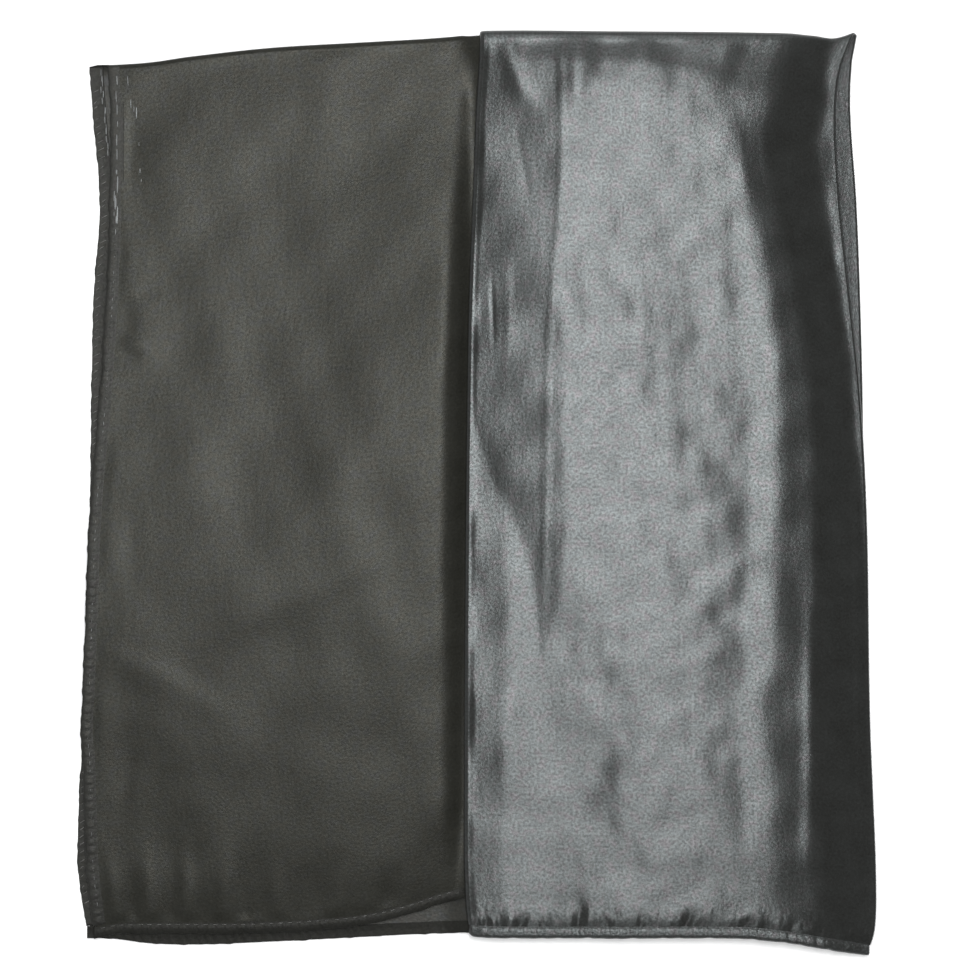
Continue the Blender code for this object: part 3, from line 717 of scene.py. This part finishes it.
def make_pleat(material):
    """The inner pleat: the flap's ply runs on under it, turns and comes back to the fourth hem."""
    low = np.array([0.0, 0.6, 1.2, 2.2, 3.2, 3.9, 4.5]) / HALF_HEIGHT
    front = np.concatenate([low, np.linspace(0.03, 1, 40)])
    rows = rows_over(front, front[::-1])
    out = home = np.linspace(0, 1, 22)
    turn = np.radians(90 - 180 * np.arange(1, FOLD_STEPS) / FOLD_STEPS)
    u = np.concatenate([mix(TUCKED_END, PLEAT_FOLD_X, out), PLEAT_FOLD_X + 0 * turn,
                        mix(PLEAT_FOLD_X, PLEAT_END, home)])
    part = np.concatenate([0 * out, 0.5 - 0.5 * np.sin(turn), 1 + 0 * home])[None]
    reach = np.concatenate([0 * out, np.cos(turn), 0 * home])[None]
    margin = mix(1.2, 2.4, part)
    x = u[None] + 0 * rows.climb
    y = row_height(rows, FLAP_BOTTOMS, x, margin)
    room = crown(x, y) * (1 - rows.share)
    upper = mix(TUCKED_LEVEL - PLY / 2 + SATIN / 2, 2.15, smooth((x - TUCKED_END) / 14)) + 0.5 * room
    lower = 1.25 + 0.25 * room
    centre = mix(upper, lower, part)
    half = (upper - lower) / 2
    hem = 0.24 * bell(np.maximum(rows.climb * HALF_HEIGHT - 3, 0) / 0.8)
    hem = hem + 0.2 * part * smooth(PLEAT_END + 5 - x)
    places = []
    for off in (SATIN / 2 + hem, -SATIN / 2 - hem * 0.6):
        side = off * np.where(part > 0.5, -1, 1) * np.where(reach > 0, np.abs(2 * part - 1), 1)
        places.append(put(rows, x + reach * (half + off), y, centre + side))
    cloth = (400 + passed_along(x, centre), cloth_up(rows))
    return shell("pleat_satin", places[0], places[1], cloth, material, material)


HEM_ACROSS = np.array([0, 0.01, 0.05, 0.12, 0.22, 0.34, 0.46, 0.57, 0.66, 0.74, 0.82, 0.9, 0.96, 1.0])
HEM_INSIDE = np.array([0.99, 0.94, 0.84, 0.7, 0.55, 0.4, 0.25, 0.12, 0.04, 0.01])


def wander(s, seed):
    """Slow random swing along a hem, about -1 to 1."""
    rng = np.random.default_rng(seed)
    total = 0 * s
    for length in (5.0, 8.0, 13.0, 23.0, 41.0):
        total = total + np.sin(s * 2 * np.pi / length + rng.random() * 2 * np.pi)
    return total / 2.5


def hem_rise(s, v, thickness, seed, drop=0.1, line=STITCH_LINE):
    """Height of a hem's outer face over its panel: a rolled edge, puffs between the stitches, and
    the share of the width over which it drops to the panel at its inner end."""
    puff = np.abs(np.sin(np.pi * s / STITCH_PITCH)) ** 0.7
    puff = puff * (0.75 + 0.35 * wander(s, seed))
    edge_roll = np.sqrt(np.clip(1 - (1 - np.minimum(v / 0.2, 1)) ** 2, 0, 1))
    inner_end = smooth((1 - v) / drop)
    body = 0.66 + 0.34 * puff * bell((v - 0.42) / 0.34)
    groove = bell((v - line) / 0.09) * (0.14 + 0.24 * (1 - puff))
    slant = 0.07 * np.sin(2 * np.pi * (s + 1.6 * v) / (STITCH_PITCH * 0.5)) * bell((v - 0.45) / 0.25)
    return edge_roll * inner_end * thickness * (body + slant - 0.5 * groove)


def hem_inside(s, w, tilt):
    """Level of a hem's inner face: higher towards its panel by the tilt, with a dip at each stitch."""
    dip = 0.5 + 0.5 * np.cos(2 * np.pi * (s + 1.4 * w) / STITCH_PITCH)
    return 0.55 - tilt * w + 0.07 * dip * bell((w - 0.5) / 0.3)


def make_side_hem(material):
    front = np.linspace(0, 1, 620)
    rows = rows_over(front, np.linspace(1, 0, 400))
    s = cloth_up(rows) + 0.4 * wander(cloth_up(rows), 11)
    v, w = HEM_ACROSS[None], HEM_INSIDE[None]
    upper = smooth((s - 240) / 16) * (rows.share < 1)
    rise = hem_rise(s, v, mix(0.34, 0.18, upper), 12, mix(0.5, 0.8, upper), SIDE_STITCH_LINE)
    nudge = 0.18 * wander(s, 13) * (1 - v) + 0.10 * np.abs(np.sin(np.pi * s / STITCH_PITCH)) * (v < 0.1)
    top = BASE_OUTSIDE + rise - HEM_RISE * (rows.share == 1) - 0.02
    low = mix(0.45 + 0 * s * w, hem_inside(s, w, MARGIN_TILT), rows.share)
    level = np.concatenate([np.maximum(top, low[:, -1:] + 0.2), low], axis=1)
    width = SIDE_HEM_WIDTH * np.concatenate([v, w], axis=1) + 0 * s
    width[:, :len(HEM_ACROSS)] -= nudge
    x = left_edge(rows, HEM_MARGIN) + width
    y = row_height(rows, LEFT_BOTTOMS, x, HEM_MARGIN)
    return strip("side_hem_satin", put(rows, x, y, level), (width, cloth_up(rows)), material)


def bottom_row(back):
    """The bottom row of the front half, 0, or of the back half, 1."""
    return Rows(np.array([[float(back)]]), np.array([[0.0]]), np.array([[90.0 - 180.0 * back]]))


def make_left_bottom_hem(back, material):
    start = edge("left_" + HALVES[back], BOTTOM_HEM_Y)
    x = np.linspace(start, TUCKED_END, 420)[:, None]
    s = x + 0.4 * wander(x, 21 + back)
    v, w = HEM_ACROSS[None], HEM_INSIDE[None]
    rise = hem_rise(s, v, (0.30, 0.72)[back], 23 + back, (0.6, 0.3)[back])
    bottom = bottom_edge(LEFT_BOTTOMS[back], x)
    flatten = 1 - ramp(x, bottom)
    top = BASE_OUTSIDE + mix(rise * 0.6, rise, flatten) - HEM_RISE * back * flatten - 0.02
    low = hem_inside(s, w, MARGIN_TILT * flatten) if back else 0.45 + 0 * x * w
    level = np.concatenate([np.maximum(top, low[:, -1:] + 0.1), low], axis=1)
    across = BOTTOM_HEM_WIDTH * np.concatenate([v, w], axis=1) + 0 * x
    across[:, :len(HEM_ACROSS)] += 0.15 * wander(s, 25) * (1 - v)
    y = bottom + across
    x = x + 0 * y
    if not back:
        level = level - fold_dip(x, y)
    name = "left_bottom_hem_%s_satin" % HALVES[back]
    return strip(name, put(bottom_row(back), x, y, level), (x + 128, across), material)


def make_flap_bottom_hem(back, material):
    rows = bottom_row(back)
    v = np.concatenate([HEM_ACROSS, HEM_INSIDE])
    sizes = (430, HEM_TURNS, HEM_ENDS, BOTTOM_HEM_WIDTH / 2)
    x0, n0 = flap_path(rows, 0.0, *sizes)
    inner_x, inner_n = flap_path(rows, 0.5, *sizes)
    along = passed_along(x0, n0)
    s = along + 0.4 * wander(along, 31 + back)
    shown = slice(HEM_ENDS + HEM_TURNS, -HEM_ENDS - HEM_TURNS)
    face = x0[:, shown]
    on_front = np.zeros_like(along)
    on_front[:, shown] = smooth((face - face[0, 0]) / 4) * smooth((face[0, -1] - face) / 6) * (1 - back)
    rings = []
    for k, share in enumerate(v):
        depth = 0.85 + 0 * along
        outside = k < len(HEM_ACROSS)
        if outside:
            rise = hem_rise(s, share, 0.50, 33 + back, 0.25)
            round_edge = 0.45 * (1 - smooth(share / 0.16))
            depth = mix(0.30 - rise, 0.10 - rise, on_front) + round_edge
            depth = np.maximum(depth, -0.3 * on_front)
        x, n = x0 + (inner_x - x0) * depth * 2, n0 + (inner_n - n0) * depth * 2
        across = BOTTOM_HEM_WIDTH * share + 0.12 * wander(s, 35) * (1 - share)
        y = bottom_edge(FLAP_BOTTOMS[back], x) + across
        n = n + puckers(FLAP_PUCKERS, x, y) * 0.12 * on_front * outside
        rings.append(put(rows, x, y, n)[0])
    cloth = (400 - along.T, BOTTOM_HEM_WIDTH * v[None] + 0 * along.T)
    return strip("flap_bottom_hem_%s_satin" % HALVES[back], np.stack(rings, axis=1), cloth, material)


def threads(name, bars, material):
    """Many short threads as one mesh, from arrays of their two ends and of their radii. Each is a
    round bar that thins to both ends."""
    sides, profile = 6, [(0.0, 0.25), (0.12, 0.8), (0.5, 1.0), (0.88, 0.8), (1.0, 0.25)]
    starts, ends = np.concatenate([places for places, _ in bars]).swapaxes(0, 1)
    radius = np.concatenate([radii for _, radii in bars])[:, None]
    way = ends - starts
    length = np.linalg.norm(way, axis=1, keepdims=True)
    way = way / length
    side = np.cross(way, np.array([[0.13, 0.21, 0.97]]))
    side /= np.linalg.norm(side, axis=1, keepdims=True)
    up = np.cross(side, way)
    rings = []
    for t, share in profile:
        for k in range(sides):
            a = 2 * np.pi * k / sides
            rings.append(starts + way * length * t
                         + radius * share * (side * math.cos(a) + up * math.sin(a)))
    points = np.stack(rings, axis=1)
    n, per = points.shape[:2]
    a = np.arange(per).reshape(len(profile), sides)
    one = quads(np.concatenate([a, a[:, :1]], axis=1)).tolist()
    one += [a[0, ::-1].tolist(), a[-1].tolist()]
    faces = [[i + k * per for i in f] for k in range(n) for f in one]
    flat = np.repeat(points[:, :1, :2] + 300, per, axis=1).reshape(-1, 2)
    return to_mesh(name, points.reshape(-1, 3), faces, flat, [material])


def stitch_places(start, end, seed):
    """Both ends of each stitch along a length."""
    at = start + STITCH_PITCH * np.arange(int((end - start) / STITCH_PITCH))[:, None]
    return at + (STITCH_HOLE, STITCH_PITCH - STITCH_HOLE) + 0.15 * wander(at, seed)


def side_hem_points(s, across, level, back):
    """Places on a side hem at lengths along it and shares of its width."""
    half = bottom_row(back)
    rows = Rows(half.share, s / HALF_HEIGHT, half.turn)
    x = left_edge(rows, HEM_MARGIN) + SIDE_HEM_WIDTH * across
    y = row_height(rows, LEFT_BOTTOMS, x, HEM_MARGIN)
    return put(rows, x, y, level)


def make_painted_highlight_stitches(material):
    """Stitches in a pale thread, a painted highlight where they catch the light: up the side hem and
    along the flap's bottom hems.
    """
    bars = []
    for back, end, level in ((0, 243.0, 0.16), (1, 294.0, 0.36 - HEM_RISE)):
        s = stitch_places(6.0, end, 41)
        places = side_hem_points(s, SIDE_STITCH_LINE, BASE_OUTSIDE + level, back)
        bars.append((places, np.full(len(s), 0.10)))
    # the long loose dashes of its upper part
    rng = np.random.default_rng(6)
    s, slack = [], []
    at = 240.0
    while at < 297.0:
        length = rng.uniform(1.6, 4.4)
        s.append((at, at + length))
        slack.append(0.13 + 0.16 * rng.random() ** 1.5)
        at += length + rng.uniform(0.5, 3.6) ** 1.1
    across = SIDE_STITCH_LINE + rng.normal(0, 0.045, (len(s), 1))
    bars.append((side_hem_points(np.array(s), across, BASE_OUTSIDE + 0.10, 0), np.array(slack)))
    at, across, length, radius = np.array(LOOSE_DASHES).T[:, :, None]
    s = np.hstack([at, at + length])
    bars.append((side_hem_points(s, across, BASE_OUTSIDE + 0.03, 0), radius[:, 0]))
    # bits of thread on the back's side hem, pale with a painted highlight where they shine
    s = np.arange(269.0, 298.0, 2.2)[:, None]
    s = s + rng.normal(0, 0.5, s.shape) + (0, 2.4)
    across = 0.84 + rng.normal(0, 0.06, (len(s), 1))
    level = hem_inside(s, across, MARGIN_TILT) - 0.05
    places = side_hem_points(s, across + (0, 0.03), level, 1)
    bars.append((places, rng.uniform(0.10, 0.19, len(s))))
    for back in (0, 1):
        x = stitch_places(1.5, 128.5, 43)
        y = bottom_edge(FLAP_BOTTOMS[back], x) + BOTTOM_HEM_WIDTH * (STITCH_LINE + 0.04)
        level = flap_level(x, y, back) + (0.02, -0.05)[back]
        bars.append((put(bottom_row(back), x, y, level), 0.09 + 0.03 * wander(x[:, 1], 45)))
    return threads("painted_highlight_stitches", bars, material)


def make_painted_shade_stitches(material):
    """Stitches in a darker thread, painted shade where they lie in the shade: on the upward face of the
    back's side hem and along the left hems.
    """
    rng = np.random.default_rng(9)
    s = np.arange(8.0, 292.0, TICK_PITCH)[:, None]
    s = s + rng.normal(0, 0.35, s.shape)
    across = np.hstack([0.14 + 0 * s, rng.uniform(0.34, 0.62, s.shape)])
    s = s + (0, 1.1)
    places = side_hem_points(s, across, hem_inside(s, across, MARGIN_TILT) - 0.06, 1)
    bars = [(places, rng.uniform(0.07, 0.15, len(s)))]
    for back in (0, 1):
        first = edge("left_" + HALVES[back], BOTTOM_HEM_Y) + 1.5
        x = stitch_places(first, (-6.5, 9.0)[back], 42)
        bottom = bottom_edge(LEFT_BOTTOMS[back], x)
        y = bottom + BOTTOM_HEM_WIDTH * STITCH_LINE
        sunk = HEM_RISE * (1 - ramp(x, bottom)) - 0.17 if back else fold_dip(x, y)
        places = put(bottom_row(back), x, y, BASE_OUTSIDE + 0.13 - sunk)
        bars.append((places, 0.08 + 0.02 * wander(x[:, 1], 46)))
    return threads("painted_shade_stitches", bars, material)


class Look:
    """Builds one procedural material."""

    def __init__(self, name, roughness, specular, sheen=0.0, floats=None):
        self.material = bpy.data.materials.new(name)
        self.material.use_nodes = True
        self.tree = self.material.node_tree
        self.shader = self.tree.nodes["Principled BSDF"]
        self.plug("Roughness", roughness)
        self.plug("Specular IOR Level", specular)
        self.plug("Sheen Weight", sheen)
        if floats is not None:
            strength, turn = floats
            self.plug("Anisotropic", strength)
            self.plug("Anisotropic Rotation", turn)
            tangent = self.add("ShaderNodeTangent", direction_type="UV_MAP", uv_map="cloth")
            self.plug("Tangent", tangent.outputs[0])

    def add(self, kind, *inputs, **settings):
        """A node with its settings, and its inputs as pairs of a name or number and a value."""
        node = self.tree.nodes.new(kind)
        for name, value in settings.items():
            setattr(node, name, value)
        for name, value in inputs:
            self.set(node, name, value)
        return node

    def set(self, node, name, value):
        socket = node.inputs[name] if isinstance(name, int) else next(
            s for s in node.inputs if s.name == name and s.enabled)
        if isinstance(value, bpy.types.NodeSocket):
            self.tree.links.new(value, socket)
        else:
            socket.default_value = value

    def plug(self, name, value):
        self.set(self.shader, name, value)

    def math(self, operation, *values, clamp=False):
        node = self.add("ShaderNodeMath", *enumerate(values), operation=operation, use_clamp=clamp)
        return node.outputs[0]

    def cloth(self):
        """Place on the flat square of cloth, in metres."""
        uv = self.add("ShaderNodeTexCoord").outputs["UV"]
        side = ("Scale", SQUARE_SIDE * MM)
        return self.add("ShaderNodeVectorMath", (0, uv), side, operation="SCALE").outputs[0]

    def moved(self, vector, offset=(0, 0, 0), scale=(1, 1, 1)):
        node = self.add("ShaderNodeMapping", (0, vector), ("Location", offset), ("Scale", scale))
        return node.outputs[0]

    def noise(self, vector, per_metre, detail=2.0, roughness=0.55):
        node = self.add("ShaderNodeTexNoise", ("Vector", vector), ("Scale", per_metre),
                        ("Detail", detail), ("Roughness", roughness))
        return node.outputs[0]

    def colours(self, factor, *stops):
        node = self.add("ShaderNodeValToRGB", (0, factor))
        elements = node.color_ramp.elements
        while len(elements) < len(stops):
            elements.new(0.5)
        for element, (at, colour) in zip(elements, stops):
            element.position = at
            element.color = (*colour, 1)
        return node.outputs[0]

    def multiply(self, a, b):
        node = self.add("ShaderNodeMix", (0, 1.0), (6, a), (7, b), data_type="RGBA",
                        blend_type="MULTIPLY")
        return node.outputs[2]

    def bump(self, height, distance, strength=1.0, under=None):
        node = self.add("ShaderNodeBump", ("Height", height), ("Distance", distance),
                        ("Strength", strength))
        if under is not None:
            self.set(node, "Normal", under)
        return node.outputs[0]


def satin_look(name, dark, light, tint, roughness, specular, floats, glint, grain_bump, streak_bump,
               drawn_in=0.0):
    """Satin: fine grain that glints, slight patches of hue, the weave for a close look, and the
    small ticks where a hem's stitches draw the cloth in."""
    look = Look(name, roughness, specular, floats=floats)
    cloth = look.cloth()
    grain = look.noise(cloth, 1150, 2.0, 0.6)
    drift = look.noise(look.moved(cloth, (0.3, 0.1, 0)), 95, 3.0, 0.6)
    hue = look.noise(look.moved(cloth, (0.7, 0.5, 0)), 330, 2.0, 0.5)
    weave = look.noise(look.moved(cloth, scale=(4200, 700, 1)), 1.0, 1.0, 0.5)
    streaks = look.noise(look.moved(cloth, (0.1, 0.9, 0), (1, 0.35, 1)), 300, 1.5, 0.5)
    glints = look.noise(look.moved(cloth, (0.2, 0.4, 0)), 1150, 2.5, 0.7)
    shine = look.colours(glints, (0.36, (glint, glint, glint)), (0.64, (1.0, 1.0, 1.0)))
    tone = look.math("MULTIPLY_ADD", grain, 0.6, look.math("MULTIPLY", drift, 0.4))
    look.plug("Base Color", look.colours(tone, (0.3, dark), (0.7, light)))
    hues = look.colours(hue, *zip((0.38, 0.5, 0.62), tint))
    look.plug("Specular Tint", look.multiply(hues, shine))
    look.plug("Roughness", look.math("MULTIPLY_ADD", drift, 0.10, roughness - 0.05))
    normal = look.bump(streaks, streak_bump)
    normal = look.bump(grain, grain_bump, under=normal)
    normal = look.bump(weave, 0.000012, 0.6, normal)
    if drawn_in:
        axes = look.add("ShaderNodeSeparateXYZ", ("Vector", cloth))
        from_fold = look.math("ABSOLUTE", look.math("SUBTRACT", axes.outputs[1], HALF_HEIGHT * MM))
        above_hem = look.math("SUBTRACT", from_fold, TICKS_START)
        above_hem = look.math("MULTIPLY", above_hem, TICKS_GAIN, clamp=True)
        ticks = look.noise(look.moved(cloth, (0.5, 0.2, 0), (330, 190, 1)), 1.0, 1.0, 0.5)
        ticks = look.math("MULTIPLY", ticks, above_hem)
        normal = look.bump(ticks, drawn_in, under=normal)
    look.plug("Normal", normal)
    return look.material


def thread_look(name, dark, light):
    look = Look(name, 0.42, 0.5, 0.2)
    twist = look.noise(look.cloth(), 900, 1.0)
    look.plug("Base Color", look.colours(twist, (0.3, dark), (0.7, light)))
    look.plug("Normal", look.bump(twist, 0.00008, 0.5))
    return look.material


def floor_look():
    look = Look("pale_floor", 0.85, 0.2)
    place = look.add("ShaderNodeTexCoord").outputs["Object"]
    tone = look.noise(place, 3.0, 2.0)
    look.plug("Base Color", look.colours(tone, (0.3, (0.92, 0.92, 0.92)), (0.7, (0.94, 0.94, 0.94))))
    return look.material


def make_camera():
    """Straight over the scarf, framed as in the photograph."""
    data = bpy.data.cameras.new("camera")
    camera = placed("camera", data)
    data.lens = SENSOR * CAMERA_HEIGHT / FRAME_WIDTH
    data.sensor_width = SENSOR
    data.clip_start = 0.05
    camera.location = (0.00108, 0.00423, CAMERA_HEIGHT + 0.006)
    bpy.context.scene.camera = camera


def make_light(name, location, size, power, towards=(0, 0, 0)):
    data = bpy.data.lights.new(name, "AREA")
    data.shape = "RECTANGLE"
    data.size, data.size_y = size
    data.energy = power
    light = placed(name, data)
    light.location = location
    light.rotation_euler = (Vector(towards) - Vector(location)).to_track_quat("-Z", "Y").to_euler()
    light.visible_camera = False


def make_stage():
    mesh = bpy.data.meshes.new("floor")
    side, below = 1.1, -0.0002
    mesh.from_pydata([(-side, -side, below), (side, -side, below), (side, side, below),
                      (-side, side, below)], [], [(0, 1, 2, 3)])
    mesh.materials.append(floor_look())
    floor = placed("floor", mesh)
    world = bpy.data.worlds.new("studio")
    world.use_nodes = True
    nodes, links = world.node_tree.nodes, world.node_tree.links
    way = nodes.new("ShaderNodeSeparateXYZ")
    links.new(nodes.new("ShaderNodeTexCoord").outputs["Generated"], way.inputs[0])
    wall = nodes.new("ShaderNodeMapRange")
    wall.interpolation_type = "SMOOTHSTEP"
    for name, value in zip(("From Min", "From Max", "To Min", "To Max"), (*WALL_ENDS, *WALL_LIGHT)):
        wall.inputs[name].default_value = value
    links.new(way.outputs["Z"], wall.inputs["Value"])
    nodes["Background"].inputs["Color"].default_value = (0.96, 0.98, 1.0, 1)
    links.new(wall.outputs["Result"], nodes["Background"].inputs["Strength"])
    bpy.context.scene.world = world
    make_light("softbox", SOFTBOX_PLACE, SOFTBOX_SIZE, SOFTBOX_POWER, (*SOFTBOX_PLACE[:2], 0))
    for k, (x, y, power) in enumerate(SIDES):
        make_light("side_%d" % k, (x, y, 1.9), (1.6, 1.2), power)
    bpy.context.scene.view_settings.view_transform = "Standard"


# The camera's sensor in millimetres, its height and the width that it sees on the floor in metres
SENSOR, CAMERA_HEIGHT, FRAME_WIDTH = 36, 1.5, 0.3179
# The room: pale walls up to a height, as the sine of its angle above the floor, and a dim ceiling
WALL_ENDS = (0.35, 0.70)
WALL_LIGHT = (1.0, 0.05)
SOFTBOX_PLACE = (0.05, 0.14, 1.6)
SOFTBOX_SIZE = (0.32, 0.66)
SOFTBOX_POWER = 25.1
SIDES = ((0.2, 2.0, 20.0), (-1.6, 1.2, 8.0), (-1.6, -1.2, 8.0))

make_camera()
make_stage()

# Metres from the top fold where a hem's ticks start, and how fast they grow from there
TICKS_START, TICKS_GAIN = 0.2905, 150.0
# Turns of the satin's gloss from its cloth's own directions
ACROSS, ALONG = 0.25, 0.0
# Each look: darkest and lightest grain, hues, roughness, gloss, strength and turn of its stretch,
# least glint, and heights in metres of grain, streaks and hem ticks
PEWTER = ((0.012, 0.012, 0.011), (0.022, 0.023, 0.022),
          ((0.90, 0.98, 1.0), (0.92, 1.0, 1.0), (0.98, 0.96, 1.0)))
HEM_HUES = ((1.0, 0.98, 0.90), (0.97, 1.0, 0.95), (1.0, 0.96, 0.95))
glossy = satin_look("glossy_satin", *PEWTER,
                    0.30, 0.385, (0.8, ACROSS), 0.40, 0.000022, 0.00003, 0.00022)
dull = satin_look("dull_satin", (0.011, 0.011, 0.009), (0.021, 0.021, 0.018),
                  ((1.0, 0.97, 0.86), (0.98, 1.0, 0.90), (0.95, 0.97, 0.95)),
                  0.33, 0.138, (0.3, ALONG), 0.50, 0.000035, 0.00004)
hem_cloth = satin_look("hem_satin", (0.011, 0.011, 0.010), (0.022, 0.022, 0.020), HEM_HUES,
                       0.40, 0.15, (0.3, ALONG), 0.55, 0.00005, 0.00004)
# A darker copy of the hem satin, with less gloss, for the left bottom hems: painted shade
shaded_hem = satin_look("shaded_hem", (0.009, 0.009, 0.008), (0.017, 0.017, 0.015), HEM_HUES,
                        0.42, 0.09, (0.3, ALONG), 0.55, 0.00005, 0.00004)
glossy_hem = satin_look("glossy_hem", *PEWTER, 0.38, 0.55, (0.2, ALONG), 0.35, 0.00010, 0.00005)
hidden_cloth = satin_look("inner_satin", (0.012, 0.012, 0.010), (0.022, 0.022, 0.019),
                          ((1.0, 0.97, 0.93), (0.98, 1.0, 0.95), (0.93, 0.96, 1.0)),
                          0.44, 0.3, (0.3, ALONG), 0.6, 0.00005, 0.00004)
# Pale thread: a painted highlight where the stitches catch the light
thread_painted_highlight = thread_look("thread_painted_highlight", (0.07, 0.075, 0.075), (0.19, 0.20, 0.20))
# Dark thread: painted shade where the stitches lie in the shade
thread_painted_shade = thread_look("thread_painted_shade", (0.030, 0.030, 0.027), (0.095, 0.095, 0.088))

flap = make_flap(glossy, dull)
left = make_left(dull, hidden_cloth)
pleat = make_pleat(hidden_cloth)
side_hem = make_side_hem(hem_cloth)
left_hems = [make_left_bottom_hem(back, shaded_hem) for back in (0, 1)]
flap_hems = [make_flap_bottom_hem(back, glossy_hem) for back in (0, 1)]
stitches = [make_painted_highlight_stitches(thread_painted_highlight), make_painted_shade_stitches(thread_painted_shade)]

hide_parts("flap")
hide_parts("left_stretch")
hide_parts("hidden_layers")
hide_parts("side_hem")
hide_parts("left_bottom_hem_front")
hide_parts("left_bottom_hem_back")
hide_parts("flap_bottom_hem_front")
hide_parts("flap_bottom_hem_back")
for piece, slot in (
        (flap, "glossy_face"), (left, "dull_reverse"), (pleat, "hidden_cloth"),
        (side_hem, "hem"), (left_hems[0], "hem"), (left_hems[1], "hem"),
        (flap_hems[0], "hem"), (flap_hems[1], "hem"), (stitches[0], "hem"),
        (stitches[1], "hem")):
    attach(piece, "root")
